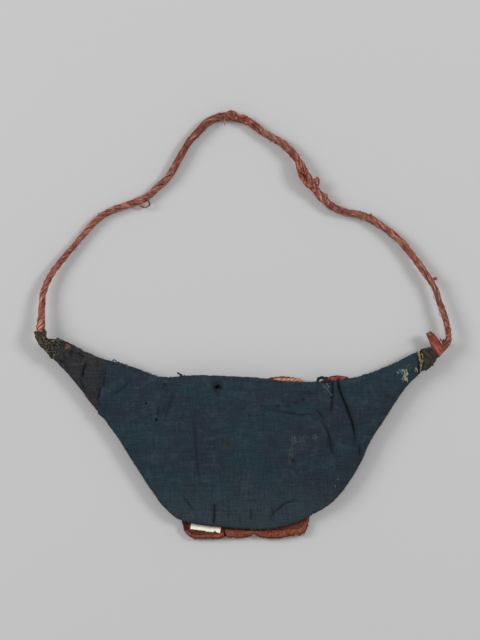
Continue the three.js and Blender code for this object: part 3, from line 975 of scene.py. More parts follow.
# how far the arm's right edge is tucked in and down under the back wall, over a share of its width
ARM_TUCK = Vector((1.2, 0, -0.7))
ARM_TUCK_SHARE = 0.04
# the tie draws the arm's lower corner in by this much, and the cloth round it a little less
DRAWN_CORNER = Vector((-159.7, 64.7))
DRAWN_BY = Vector((1.5, 2, 0))
DRAWN_REACH = 13


def drawn_in(spot):
    """Where a point of the cloth at the left tip comes to lie under the pull of the tie."""
    away = (spot.xy / MM - DRAWN_CORNER).length
    return spot + DRAWN_BY * max(0.0, 1 - away / DRAWN_REACH) * MM


arm_bm, arm_spots = lay_cloth("left_arm_panel", 1, ARM_CORNERS, columns=72, rows=72, settle=10)
press_cloth(arm_bm, arm_spots, foot_length=68, wave_share=1.4)
for vert, spot in arm_spots.items():
    tuck = max(0.0, 1 - (1 - spot["share"]) / ARM_TUCK_SHARE)
    vert.co = drawn_in(vert.co) + ARM_TUCK * tuck * MM
eat_holes(arm_bm)
give_thickness(arm_bm, CLOTH, up=1)
grey_finish = woven_finish(
    "grey hand weave", srgb(40, 42, 47), srgb(49, 48, 49), srgb(60, 58, 58), seed=21, contrast=3.0
)
arm = new_piece("grey_arm", arm_bm, grey_finish, ["left_arm_panel"])

# %% Front wall
FRONT_CORNERS = [(-152.4, 81.5), (155.4, 70.2), (156.8, 51.6), (-159.7, 64.7)]
front_bm, front_spots = lay_cloth("front_panel", -1, FRONT_CORNERS, columns=200, rows=64, settle=24)
press_cloth(front_bm, front_spots, foot_length=400, wave_share=0.35, up=-1)
for vert in front_spots:
    vert.co = drawn_in(vert.co)
    vert.co.z = max(vert.co.z, 0)
give_thickness(front_bm, CLOTH, up=-1)
front_finish = woven_finish(
    "plain front weave", srgb(31, 49, 60), srgb(36, 43, 54), BLEACHED_BLUE, seed=40, contrast=1.5
)
front = new_piece("front_wall", front_bm, front_finish, ["front_panel"])

# %% [markdown]
# ## The flap
# The flap is sewn along the mouth, hangs down the front and shows under the foot as three lobes. Its edge
# is bound with a thick roll of felted red cloth. The solid's roll has sharp machined edges, so a copy is
# cut into small even cubes, smoothed until it is soft, and roughened again with felt lumps.


# %% Felt helper and finish
def felted(node_name, cell, smoothing, lumps, fuller):
    """A softened copy of a solid, with felt lumps and a little fuller all round, in millimetres."""
    blank = bpy.data.objects.new("blank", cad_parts[node_name].data.copy())
    collection.objects.link(blank)
    cubes = blank.modifiers.new("cubes", "REMESH")
    cubes.mode = "VOXEL"
    cubes.voxel_size = cell * MM
    depsgraph = bpy.context.evaluated_depsgraph_get()
    mesh = bpy.data.meshes.new_from_object(blank.evaluated_get(depsgraph))
    bpy.data.objects.remove(blank)
    bm = bmesh.new()
    bm.from_mesh(mesh)
    bpy.data.meshes.remove(mesh)
    rim = bm.verts.layers.float.new("rim")
    bm.verts.layers.float.new("painted_highlight")
    all_ways = {"use_axis_x": True, "use_axis_y": True, "use_axis_z": True}
    for _ in range(smoothing):
        bmesh.ops.smooth_vert(bm, verts=bm.verts, factor=0.5, **all_ways)
    bm.normal_update()
    for vert in bm.verts:
        spot = vert.co / MM
        # painted shade: the rim layer grows as the felt's side stands up, and the lumps grow with it
        vert[rim] = 1 - abs(vert.normal.z)
        lump = noise.noise(spot / 4.5) + (0.5 + vert[rim]) * noise.noise(spot / 1.7)
        vert.co += vert.normal * (lumps * lump + fuller) * MM
    return bm


def felt_finish(name, deep, bright, seed):
    """Felted cloth: short fibres in all directions, lighter where they stand up, with painted shade on its
    sides and a painted highlight along its top.
    """
    material, shader, place = start_finish(name, sheen=0.12)
    tufts = spread(place, (1.6, 1.6, 1.6), detail=4, rough=0.75, shift=seed)
    fibres = spread(place, (0.55, 0.55, 0.55), detail=3, rough=0.7, shift=seed + 4)
    drift = spread(place, (8, 8, 8), detail=3, shift=seed + 8)
    rim = layer_of(place, "rim")
    painted_highlight = layer_of(place, "painted_highlight")
    colour = mix(step(tufts, 0.4, 0.62), deep, bright)
    colour = mix(step(drift, 0.5, 0.66) * 0.5, colour, srgb(122, 84, 56))
    colour = mix(step(fibres, 0.6, 0.72) * 0.5, colour, srgb(150, 122, 84))
    # painted highlight along the roll's top
    colour = mix(painted_highlight * step(tufts, 0.36, 0.6) * 0.5, colour, srgb(150, 84, 58))
    # painted shade: dark red on the sides, the outline strips, the lobe seam and along the pouch's foot
    colour = mix(step(rim, 0.1, 0.42) * 0.95, colour, srgb(64, 15, 15))
    tone = 0.2 + tufts * 0.85 + fibres * 0.75
    wear(shader, toned(colour, tone), tufts * 0.8 + fibres * 0.6, 1.0, strength=0.8)
    return material


print("felt helper and finish ready")

# %% [markdown]
# ## The flap's lobes
# Under the pouch the flap is pressed flat, and past the foot it springs up. The roll has a seam between
# its lobes and one rubbed corner, a painted highlight along its top, and painted shade on its sides, in the
# seam and along the pouch's foot. All of these follow the flap's own outline, so they are measured from it
# point by point.

# %% How far the flap stands clear of the pouch
FREED_EARLY, FREED_OVER = 1.5, 5  # the flap starts to rise this far under the foot, over this width
FOOT_PAINTED_SHADE = {"strength": 0.42, "fall": 0.2, "clear": 0.4}  # strongest this far clear of the foot


def wall_edges(node_name, corners):
    """The mouth edge and the foot edge of a wall's upper side."""
    side = one_side(node_name, 1)
    edges = mouth_and_foot(rim_points(side), corners)
    side.free()
    return edges


back_mouth, back_foot = wall_edges("back_panel", BACK_CORNERS)
foot_table = [(point.x / MM, point.y / MM) for point in back_foot]


def freed(x, y):
    """From 0 under the pouch to 1 where the flap stands clear of its foot."""
    clear = in_table(foot_table, x) - y
    return within((clear + FREED_EARLY) / FREED_OVER) if y < 0 else 0.0


def spring_up(bm, rise):
    """Raises the cloth by this many millimetres where it stands clear, and keeps its underside down."""
    for vert in bm.verts:
        spot = vert.co / MM
        vert.co.z += rise * freed(spot.x, spot.y) * within(spot.z / 2) * MM
        vert.co.z = max(vert.co.z, 0)


def shade_beside_foot(bm):
    """Paints shade into the felt along the pouch's foot."""
    rim = bm.verts.layers.float["rim"]
    for vert in bm.verts:
        spot = vert.co / MM
        clear = in_table(foot_table, spot.x) - spot.y
        if spot.y < 0:
            # painted shade along the pouch's foot
            painted_shade = FOOT_PAINTED_SHADE["strength"] - FOOT_PAINTED_SHADE["fall"] * abs(clear - FOOT_PAINTED_SHADE["clear"])
            vert[rim] = max(vert[rim], painted_shade)


print("the foot reaches down to", round(min(y for _, y in foot_table), 1), "mm")

# %% Lobes, rim and corner of the flap
LOBES_BELOW = -78  # the lobes are parted below this height
NOTCH_BELOW = -84  # with a notch in the outline below this one
LOBE_SEAM = -11.5  # and this is where the first two meet
LOBE_SEAM_WIDTH = 1.1
HIGHLIGHT_WIDTH = 2
CORNER_DEPTH = 10  # the corner's wear reaches its full amount this far below the lobes' start
# the left side's shade, which ends this far below the lobes' start and fades over this height
SIDE_SHADE = {"strength": 0.7, "below": 7, "over": 4}
# x, and how far above the outline the roll's painted highlight runs, how strong it is, how much the edge
# has lost
HIGHLIGHT_HEIGHTS = [(-14, 2.6), (-8, 4.2)]
HIGHLIGHT_STRENGTHS = [(-14, 1.5), (-8, 1)]
CORNER_WEAR = [(38, 0), (46, 2.2), (53, 2), (58, 0)]


def part_lobes(bm, at):
    """Presses the seam between two lobes into the roll at a place along it, and paints shade into it."""
    rim = bm.verts.layers.float["rim"]
    for vert in bm.verts:
        spot = vert.co / MM
        if spot.y < LOBES_BELOW:
            lean = 0.25 * (spot.y - LOBES_BELOW)
            seam = bell(spot.x - at + lean, LOBE_SEAM_WIDTH)
            vert.co.z -= 0.5 * seam * max(0.0, spot.z - 1) * MM
            vert.co.y += 0.8 * seam * within((NOTCH_BELOW - spot.y) / 3) * MM
            # painted shade in the seam between the lobes
            vert[rim] = max(vert[rim], 0.5 * seam)


def paint_outline_shade_and_highlight(bm, below, beside):
    """Paints shade in strips of these widths along the lower and left outline, and a highlight along the
    roll above them.
    """
    rim, painted_highlight = bm.verts.layers.float["rim"], bm.verts.layers.float["painted_highlight"]
    lowest, leftmost = {}, {}
    for vert in bm.verts:
        spot = vert.co / MM
        column, row = round(spot.x), round(spot.y)
        lowest[column] = min(lowest.get(column, 0.0), spot.y)
        leftmost[row] = min(leftmost.get(row, 0.0), spot.x)
    for vert in bm.verts:
        spot = vert.co / MM
        above, aside = spot.y - lowest[round(spot.x)], spot.x - leftmost[round(spot.y)]
        over_foot = spot.y - LOBES_BELOW + SIDE_SHADE["below"]
        shaded = SIDE_SHADE["strength"] * within(over_foot / SIDE_SHADE["over"])
        # painted shade: a dark strip along the lower outline and down the left side
        vert[rim] = max(vert[rim], 1 - above / below, shaded * (1 - aside / beside))
        height, strength = in_table(HIGHLIGHT_HEIGHTS, spot.x), in_table(HIGHLIGHT_STRENGTHS, spot.x)
        vert[painted_highlight] = strength * bell(above - height, HIGHLIGHT_WIDTH)


def wear_corner(bm):
    """Rubs the roll's lower edge away at its right end."""
    for vert in bm.verts:
        spot = vert.co / MM
        low = within((LOBES_BELOW - spot.y) / CORNER_DEPTH)
        vert.co.y += low * in_table(CORNER_WEAR, spot.x) * MM


print("lobe helpers ready")

# %% Binding and ground of the flap
FLAP_SPRING = 2  # how far the flap springs up past the foot
HIGHLIGHT_FROM, HIGHLIGHT_OVER = 18, 14  # to the right of this the ground gets the roll's painted highlight
red_finish = felt_finish("felted red cloth", srgb(98, 34, 28), srgb(146, 66, 48), seed=2)
binding_bm = felted("flap_binding", cell=0.75, smoothing=8, lumps=0.45, fuller=0.4)
paint_outline_shade_and_highlight(binding_bm, below=1.6, beside=8)
wear_corner(binding_bm)
spring_up(binding_bm, FLAP_SPRING)
part_lobes(binding_bm, LOBE_SEAM)
shade_beside_foot(binding_bm)
binding = new_piece("flap_binding_roll", binding_bm, red_finish, ["flap_binding"])

madder_finish = felt_finish("madder ground cloth", srgb(70, 27, 24), srgb(110, 47, 38), seed=12)
ground_bm = felted("flap_ground", cell=0.9, smoothing=1, lumps=0.2, fuller=1.3)
ground_highlight = ground_bm.verts.layers.float["painted_highlight"]
# painted highlight: the ground to the right is lit like the roll
for vert in ground_bm.verts:
    vert[ground_highlight] = within((vert.co.x / MM - HIGHLIGHT_FROM) / HIGHLIGHT_OVER)
spring_up(ground_bm, FLAP_SPRING)
shade_beside_foot(ground_bm)
ground = new_piece("flap_ground_cloth", ground_bm, madder_finish, ["flap_ground"])

# %% [markdown]
# ## The white patch
# A small patch of undyed cloth sits in the left lobe, half under the foot of the pouch. It is a thin
# rectangle with one ragged edge, where the weave has come apart. It carries nothing on it.

# %% White patch
PATCH = {"length": 25.6, "width": 13, "thick": 0.5, "turn": -8.2, "spring": 2.4}
PATCH_MIDDLE = Vector((-25.4, -77.2, 3.5))
PATCH_NOTCH = {"x": 8.4, "width": 1.2, "depth": 1.3}
patch_bm = bmesh.new()
patch_grid = bmesh.ops.create_grid(patch_bm, x_segments=64, y_segments=34, size=0.5)
patch_turn = Matrix.Rotation(math.radians(PATCH["turn"]), 3, "Z")
for vert in patch_grid["verts"]:
    x, y = vert.co.x * PATCH["length"], vert.co.y * PATCH["width"]
    low = max(0.0, -vert.co.y * 2)
    ragged = 0.7 * soft_noise(x, 0, 2.6, 1.0) + 0.4 * soft_noise(x, 0, 0.9, 2.0)
    notch = PATCH_NOTCH["depth"] * bell(x - PATCH_NOTCH["x"], PATCH_NOTCH["width"])
    y += low**4 * (ragged + notch + 0.4)
    z = 0.12 * soft_noise(x, y, 3.5, 6.0)
    vert.co = (patch_turn @ Vector((x, y, z)) + PATCH_MIDDLE) * MM
    vert.co.z += PATCH["spring"] * freed(vert.co.x / MM, vert.co.y / MM) * MM
give_thickness(patch_bm, PATCH["thick"], up=1)
patch_finish, patch_shader, place = start_finish("undyed cloth")
knots = weave(place, 0.5)[0]
stains = spread(place, (5, 3, 5), detail=4, rough=0.6, shift=60.0)
yarns = spread(place, (9, 0.7, 9), detail=3, rough=0.6, shift=64.0)
colour = mix(step(stains, 0.42, 0.68), srgb(255, 247, 230), srgb(238, 222, 190))
wear(patch_shader, toned(colour, 0.84 + yarns * 0.32), knots * 0.4 + yarns * 0.6, 0.3)
patch = new_piece("white_patch", patch_bm, patch_finish, ["flap_label"])

# %% [markdown]
# ## Yarn and thread
# Thick yarn is two plies twisted together, so its tube has two ridges that climb round it. Thin thread
# shows no plies: a bevelled curve turned into a mesh is enough, and many threads are one piece.


# %% Yarn and thread helpers
def lay_yarn(bm, points, radius, pitch=5.0, spacing=0.6, sides=9):
    """Adds a two-ply yarn of this radius along a smooth line through the points, in millimetres."""
    path = smooth_path(points, spacing)
    whole = distances(path)[-1]

    def yarn_radius(along, angle):
        ply = abs(math.cos(angle - math.pi * along / (pitch * MM)))
        closed = tube_end(along, whole, radius * MM, least=0.4)
        return radius * MM * closed * (0.8 + 0.25 * ply)

    roll_tube(bm, path, sides, yarn_radius)


def sew_threads(name, lines, finish, radius):
    """One piece of many thin round threads, each a smooth line through a few points."""
    curve = bpy.data.curves.new(name, "CURVE")
    curve.dimensions = "3D"
    curve.bevel_depth = radius * MM
    curve.bevel_resolution = 0
    curve.use_fill_caps = True
    for line in lines:
        spline = curve.splines.new("NURBS")
        spline.points.add(len(line) - 1)
        for point, spot in zip(spline.points, line):
            point.co = (*(Vector(spot) * MM), 1)
        spline.order_u = min(4, len(line))
        spline.use_endpoint_u = True
        spline.resolution_u = 3
    wire = bpy.data.objects.new(name, curve)
    collection.objects.link(wire)
    depsgraph = bpy.context.evaluated_depsgraph_get()
    mesh = bpy.data.meshes.new_from_object(wire.evaluated_get(depsgraph))
    bpy.data.objects.remove(wire)
    bpy.data.curves.remove(curve)
    return new_piece(name, mesh, finish)


print("yarn and thread helpers ready")


# %% Yarn finish
def yarn_finish(name, deep, bright, seed, stretch=4, contrast=0.8):
    """Spun yarn: fine fibres with lighter stretches of this length in millimetres."""
    material, shader, place = start_finish(name, sheen=0.1)
    fibres = spread(place, (0.5, 0.5, 0.5), detail=3, rough=0.6, shift=seed)
    stretches = spread(place, (stretch, stretch, stretch), detail=2, shift=seed + 3)
    colour = mix(step(stretches, 0.38, 0.64), deep, bright)
    tone = 1 - contrast / 2 + fibres * contrast
    wear(shader, toned(colour, tone), fibres, 0.3)
    return material


print("yarn finish ready")

# %% [markdown]
# ## The left tie
# The strap's left end is held by dark olive yarn, wound and knotted round the arm's tip. The solid gives
# the room that the knot takes up. Strands of yarn run along it with a slow twist, two turns bind the neck,
# short strands cross them, loose loops lie over the knot, and cut ends stand up on both sides of the
# strap. A core of thicker yarn keeps the light from shining through, painted near black as the knot's
# shaded inside.

# %% Tables of the left tie
TIE_LINE = [
    (-154, 72.4, 11.2), (-156.5, 73.8, 11.2), (-159.9, 75.9, 11.1), (-163, 78, 10.9), (-165.6, 81.2, 10.7),
    (-166.8, 85, 10.6),
]
# the half width and half height of the bundle at each of those points
TIE_HALVES = [Vector(row) for row in ((7.4, 3.3), (5.8, 3.8), (4.7, 4), (4.3, 3.9), (3.9, 3.4), (4, 2.9))]
TIE_LOOPS = [
    [(-162, 79.6, 12.8), (-157, 80.2, 13.8), (-152, 79.6, 14), (-148, 78.4, 13.4)],
    [(-160, 77.2, 14.4), (-155, 78.6, 15), (-150.6, 78, 14.8), (-148.6, 76, 14.2)],
    [(-157, 76, 15.2), (-152.6, 76.8, 15.2), (-150, 74, 14.8), (-151.6, 71.4, 14.4)],
    [(-159, 69.4, 12.4), (-158.2, 66.4, 12.8), (-155.4, 65.6, 13.2), (-153.2, 68, 14)],
    [(-156.4, 70.6, 15.2), (-153.6, 69.4, 15), (-151.6, 71.8, 14.8), (-153, 74.2, 15.2)],
    [(-155.6, 67.2, 13.4), (-152.4, 66.6, 13.6), (-151, 69.4, 14.2), (-152.8, 72, 14.8)],
    [(-158.4, 66.2, 12), (-156.6, 64.4, 12.2), (-154.2, 64.6, 12.4), (-153.6, 66.8, 13)],
]
TIE_ENDS = [
    [(-163.6, 75.4, 12.6), (-166.6, 78.6, 13.8), (-169, 82.6, 13.4), (-171, 87, 12.6)],
    [(-165.2, 75.2, 11), (-168, 78.8, 12), (-170, 82.8, 11.8), (-170, 87.6, 11.4)],
    [(-164.6, 77, 13), (-167.2, 80.6, 14), (-169, 84, 13.8), (-168.4, 87, 13.2)],
    [(-159.4, 71.6, 13.6), (-161.8, 76.2, 14.6), (-162.8, 81.6, 14.2), (-162.2, 88.8, 13.6)],
    [(-160.8, 71.4, 12), (-163, 76.8, 13.4), (-163.8, 83, 13.4), (-163.4, 90.2, 12.6)],
    [(-158.6, 73.2, 12.6), (-161, 77.2, 13.2), (-161.9, 82, 12.6), (-161.3, 87.4, 12)],
]
TIE_MIDDLE = [(-166, 79, 11), (-166.8, 83, 11.2), (-166.6, 86.8, 11.2)]
print(len(TIE_LOOPS), "loops and", len(TIE_ENDS), "cut ends")

# %% Places round the tie
tie_path = smooth_path(TIE_LINE, 1.0)
tie_reached = distances(tie_path)
tie_sides = cross_frames(tie_path)


def tie_share(index):
    """How far along the bundle a point of its path is, from 0 to 1."""
    return tie_reached[index] / tie_reached[-1]


def tie_spot(index, angle, inset):
    """A place round the bundle at a point of its path, this far under its surface."""
    side, up = tie_sides[index]
    half = at_share(TIE_HALVES, tie_share(index))
    across = side * math.cos(angle) * (half.x - inset) + up * math.sin(angle) * (half.y - inset)
    return tie_path[index] / MM + across


print(f"tie {tie_reached[-1] / MM:.1f} mm long")

# %% Left tie
TIE_STRANDS = 17
TIE_TURNS = 0.55
TIE_CROSSINGS = 26
TIE_YARN = 0.7  # the radius of each kind of yarn
CROSSING_YARN = 0.6
LOOP_YARN = 0.66
END_YARN = 0.95
STRAND_PACE = 3  # a strand's line has a point at every third point of the path
STRAND_INSET = 0.8  # how far its middle lies under the bundle's surface
CROSSING_POINTS = 5
NECK_POINTS = (17, 19)  # the points of the path where a turn of yarn binds the neck
NECK_CORNERS = 12
tie_bm = bmesh.new()
for strand in range(TIE_STRANDS):
    start = 2 * math.pi * strand / TIE_STRANDS
    line = []
    for index in range(0, len(tie_path), STRAND_PACE):
        turn = 2 * math.pi * TIE_TURNS * tie_share(index)
        stray = 0.5 * noise.noise(Vector((strand * 3.1, index / 7, 0)))
        line.append(tie_spot(index, start + turn + stray, STRAND_INSET + 2 * abs(stray)))
    lay_yarn(tie_bm, line, TIE_YARN, pitch=3)
for index in NECK_POINTS:
    turns = [2 * math.pi * corner / NECK_CORNERS + 0.4 for corner in range(NECK_CORNERS + 2)]
    lay_yarn(tie_bm, [tie_spot(index, turn, 0.2) for turn in turns], TIE_YARN, pitch=3)
tie_chance = random.Random(9)
for _ in range(TIE_CROSSINGS):
    first = tie_chance.randrange(0, len(tie_path) - 2 * CROSSING_POINTS + 1)
    start, turn = tie_chance.uniform(-2.9, -0.9), tie_chance.choice((-0.28, 0.28))
    line = []
    for part in range(CROSSING_POINTS):
        line.append(tie_spot(first + 2 * part, start + turn * part, 0.1 - 0.15 * (part % 3)))
    lay_yarn(tie_bm, line, CROSSING_YARN, pitch=2.4)
for line in TIE_LOOPS:
    lay_yarn(tie_bm, line, LOOP_YARN, pitch=3)
for line in TIE_ENDS:
    lay_yarn(tie_bm, line, END_YARN, pitch=4)
olive_finish = yarn_finish(
    "olive yarn", srgb(22, 20, 17), srgb(96, 88, 72), seed=5, stretch=1.5, contrast=1.4
)
new_piece("left_tie_knot", tie_bm, olive_finish, ["left_tie"])

# %% Core of the left tie
CORE_STRANDS = 6
CORE_INSET = 2.4
CORE_YARN = 1.7
MIDDLE_YARN = 2.7
core_bm = bmesh.new()
for strand in range(CORE_STRANDS):
    angle = 2 * math.pi * strand / CORE_STRANDS
    line = [tie_spot(index, angle, CORE_INSET) for index in range(0, len(tie_path), STRAND_PACE)]
    lay_yarn(core_bm, line, CORE_YARN, pitch=8)
lay_yarn(core_bm, TIE_MIDDLE, MIDDLE_YARN, pitch=8)
# painted shade: the core is coloured near black as the shaded inside of the knot
tie_core_shade_finish = yarn_finish("dark inside of the tie", srgb(17, 16, 14), srgb(32, 29, 24), seed=7)
new_piece("left_tie_core", core_bm, tie_core_shade_finish)

# %% [markdown]
# ## The right wrap
# The right arm's tip is bound with one flat dark strip that is wound round it, each turn lapping over the
# one before. One oval tube along the tip is enough: its radius drops along each turn and jumps up again
# where the next turn's edge lies on it. Pale yarn holds the wrap to the indigo cloth.

# %% Shape of the right wrap
WRAP_LINE = [(153.8, 61, 11), (157, 61.2, 10.9), (160, 62.8, 10.8), (163.8, 66, 10.5), (169.6, 69.3, 10)]
WRAP_HALVES = [Vector(row) for row in ((8, 3.8), (8.2, 4), (8.5, 4.4), (6.9, 4.2), (5, 3.4))]
WRAP_SIDES = 56
WRAP_END = 1.2
WRAP_TURN_COUNT = 4
WRAP_SLANT = 0.16
WRAP_LAP = 1.2  # how far a turn's edge stands over the turn before
wrap_path = smooth_path(WRAP_LINE, 0.3)
wrap_length = distances(wrap_path)[-1]
wrap_bm = bmesh.new()


def wrap_radius(along, angle):
    """An oval with the laps of the wound strip and small folds across them."""
    half = at_share(WRAP_HALVES, along / wrap_length)
    oval = 1 / math.hypot(math.cos(angle) / half.x, math.sin(angle) / half.y)
    round_it = Vector((2 * math.cos(angle), 2 * math.sin(angle), along / (2.5 * MM)))
    turn = WRAP_TURN_COUNT * along / wrap_length + WRAP_SLANT * math.cos(angle)
    turn += 0.12 * noise.noise(round_it)
    folds = 0.22 * noise.noise(round_it * 1.7) + 0.16 * noise.noise(round_it * 4)
    closed = tube_end(along, wrap_length, WRAP_END * MM, least=0.6)
    return MM * closed * (oval - 0.55 + WRAP_LAP * (1 - turn % 1.0) ** 0.7 + folds)


roll_tube(wrap_bm, wrap_path, WRAP_SIDES, wrap_radius)
print(f"wrap: {len(wrap_bm.verts)} points")

# %% Right wrap
WRAP_RADIUS = 8  # for the way round in its finish
WRAP_DARK_TO, WRAP_CLEAR_FROM = 157.6, 159.2  # painted shade beside the pale yarn, full up to the first x and gone from the second
wrap_finish, wrap_shader, place = start_finish("dark wrap cloth", sheen=0.05)
turned = twisted_place(place, WRAP_RADIUS)[2]
wrap_streaks = spread(turned, (9, 9, 0.8), detail=3, rough=0.6, shift=9.0)
wrap_lint = spread(place, (0.6, 0.6, 0.6), detail=3, rough=0.7, shift=13.0)
colour = mix(step(wrap_streaks, 0.36, 0.66), srgb(34, 32, 29), srgb(69, 65, 59))
# painted shade in the gap beside the pale yarn
painted_gap_shade = step(axes(place)[0], WRAP_CLEAR_FROM * MM, WRAP_DARK_TO * MM)
colour = mix(painted_gap_shade * 0.85, colour, srgb(14, 13, 12))
wear(wrap_shader, toned(colour, 0.55 + wrap_lint * 0.9), wrap_streaks + wrap_lint * 0.4, 0.6)
new_piece("right_wrap_binding", wrap_bm, wrap_finish, ["right_wrap"])

# %% [markdown]
# ## The strap's tail
# At the right tip the strap opens into a folded wedge of red cloth with a free horn. The solid wedge is
# softened like the flap's roll, and folds along each horn are pressed in with stretched noise. The
# horn's cut end shows the paler inside of the cloth.

# %% Tail
HORN_TIP = Vector((164.2, 85.2, 11.8))
HORN_HEADING = math.radians(-33)
FOLDS_ALONG = Vector((0.55, -0.83))
FOLDS_ACROSS = Vector((0.83, 0.55))
FOLD_SIZE = (2.1, 14)
tail_bm = felted("strap_tail", cell=0.45, smoothing=4, lumps=0.3, fuller=0.4)
for vert in tail_bm.verts:
    spot = vert.co / MM
    across, along = FOLDS_ACROSS.dot(spot.xy), FOLDS_ALONG.dot(spot.xy)
    fold = noise.noise(Vector((across / FOLD_SIZE[0], along / FOLD_SIZE[1], 3)))
    vert.co.z += 0.8 * fold * MM * max(0.0, vert.normal.z)
tail_finish, tail_shader, place = start_finish("red tail cloth", sheen=0.1)
tail_turned = place.node("Mapping", None, {"Vector": place, "Rotation": (0, 0, HORN_HEADING)})
tail_folds = spread(tail_turned, (1.7, 12, 8), detail=3, rough=0.6, shift=5.0)
tail_fibres = spread(place, (0.7, 0.7, 0.7), detail=3, rough=0.7, shift=9.0)
colour = mix(step(tail_folds, 0.4, 0.62), srgb(140, 60, 50), srgb(170, 86, 70))
# painted shade: dark lines along the folds
colour = mix(lines_of(tail_folds, 0.88, 0.97) * 0.4, colour, srgb(84, 34, 29))
# painted shade on the tail's steep sides
rim = layer_of(place, "rim")
colour = mix(step(rim, 0.35, 0.8) * 0.5, colour, srgb(84, 40, 30))
horn = place.node("VectorMath", {"operation": "DISTANCE"}, {0: place, 1: HORN_TIP * MM}, out="Value")
colour = mix(step(horn, 5 * MM, 3 * MM) * 0.5, colour, srgb(92, 56, 40))
colour = mix(step(horn, 2.2 * MM, 1 * MM) * 0.8, colour, srgb(206, 150, 110))
tail_tone = 0.44 + tail_folds * 0.4 + tail_fibres * 0.55
wear(tail_shader, toned(colour, tail_tone), tail_folds + tail_fibres * 0.5, 0.9, strength=0.8)
tail = new_piece("strap_tail_cloth", tail_bm, tail_finish, ["strap_tail"])

# %% [markdown]
# ## Bits at the mouth
# A loop of dark purple yarn stands on the mouth's edge. Beside it two rolls of the flap's head show past
# the edge: a pale orange one with light stitches and a red yarn one. A curve with a bevel would make them
# smooth. The yarn helper lays the twist into their skin, so all of them are short routes for it.

# %% Loop at the mouth
LOOP_ROUTE = [
    (69, 43.6, 12.4), (69.4, 45, 12.8), (70.2, 46.8, 13), (72.8, 47.8, 13.1), (75.4, 46.9, 13),
    (76.2, 45, 12.7), (74.6, 44, 12.8), (72.6, 44.6, 13.4),
]
KNOT_ROUTE = [(73.6, 44, 13), (75.4, 45.6, 13.8), (76.6, 47.4, 13.4), (77.6, 46, 12.8)]
loop_bm = bmesh.new()
lay_yarn(loop_bm, LOOP_ROUTE, radius=1.4, pitch=3.4, spacing=0.4, sides=10)
lay_yarn(loop_bm, KNOT_ROUTE, radius=1.5, pitch=3.4, spacing=0.4, sides=10)
purple_finish = yarn_finish("purple yarn", srgb(26, 22, 27), srgb(52, 43, 47), seed=14, stretch=2)
new_piece("mouth_yarn_loop", loop_bm, purple_finish, ["mouth_loop"])

# %% Rolls at the mouth
ORANGE_ROLL = [(31.4, 44.4, 7.4), (35, 45, 7.6), (42, 45.3, 7.7), (50, 44.8, 7.6), (57, 43.4, 7.2)]
RED_ROLL = [
    (75, 45, 9), (77.6, 47, 9.6), (79.6, 45.4, 9.4), (81.8, 47.2, 9.6), (84, 45.6, 9.2), (86.6, 47.2, 9.2),
    (89.6, 46.2, 8.6), (92.6, 47.6, 8.2), (95.6, 47, 7.4),
]
RED_STRAND = [(76, 44.6, 10.4), (79.4, 46.6, 10.8), (83, 45.6, 10.6), (87.4, 47, 10.2), (92, 46.6, 9.6)]
ORANGE_STITCH_PLACES = (33.4, 36.6, 40.2, 44, 47.6, 51.2)
orange_bm = bmesh.new()
lay_yarn(orange_bm, ORANGE_ROLL, radius=2.1, pitch=24, spacing=0.5, sides=16)
orange_finish = yarn_finish(
    "pale orange cloth", srgb(156, 96, 72), srgb(206, 150, 118), seed=17, stretch=2, contrast=1
)
new_piece("mouth_orange_roll", orange_bm, orange_finish)
red_roll_bm = bmesh.new()
lay_yarn(red_roll_bm, RED_ROLL, radius=1.35, pitch=5, spacing=0.5, sides=14)
lay_yarn(red_roll_bm, RED_STRAND, radius=0.8, pitch=4, spacing=0.5)
red_roll_finish = yarn_finish(
    "red yarn", srgb(92, 38, 30), srgb(150, 80, 58), seed=19, stretch=2.4, contrast=1.2
)
new_piece("mouth_red_roll", red_roll_bm, red_roll_finish)
stitch_lines = [
    [(x - 0.7, 44.4, 9.6), (x, 45.6, 9.9), (x + 0.7, 46.8, 9)] for x in ORANGE_STITCH_PLACES
]
cream_thread = yarn_finish("cream thread", srgb(214, 170, 132), srgb(236, 204, 168), seed=41)
sew_threads("mouth_orange_stitches", stitch_lines, cream_thread, radius=0.32)

# %% [markdown]
# ## Seams and stitches
# The walls are oversewn along the foot with dark thread: each stitch starts on the back wall, goes over
# the edge and ends under it. The mouth has a finer row. Pale whip stitches hold the right wrap, and olive
# ones the grey arm's lower corner. The oversewn stitches find the height of the finished cloth by a ray
# from above.


# %% Stitch helpers
def surface_of(piece):
    """A piece's surface, ready to be hit by rays."""
    bm = bmesh.new()
    bm.from_mesh(piece.data)
    surface = BVHTree.FromBMesh(bm)
    bm.free()
    return surface


def height_at(surface, x, y, otherwise):
    """The height of a surface over a place, in millimetres."""
    hit = surface.ray_cast(Vector((x * MM, y * MM, RAY_HEIGHT)), Vector((0, 0, -1)))[0]
    return otherwise if hit is None else hit.z / MM


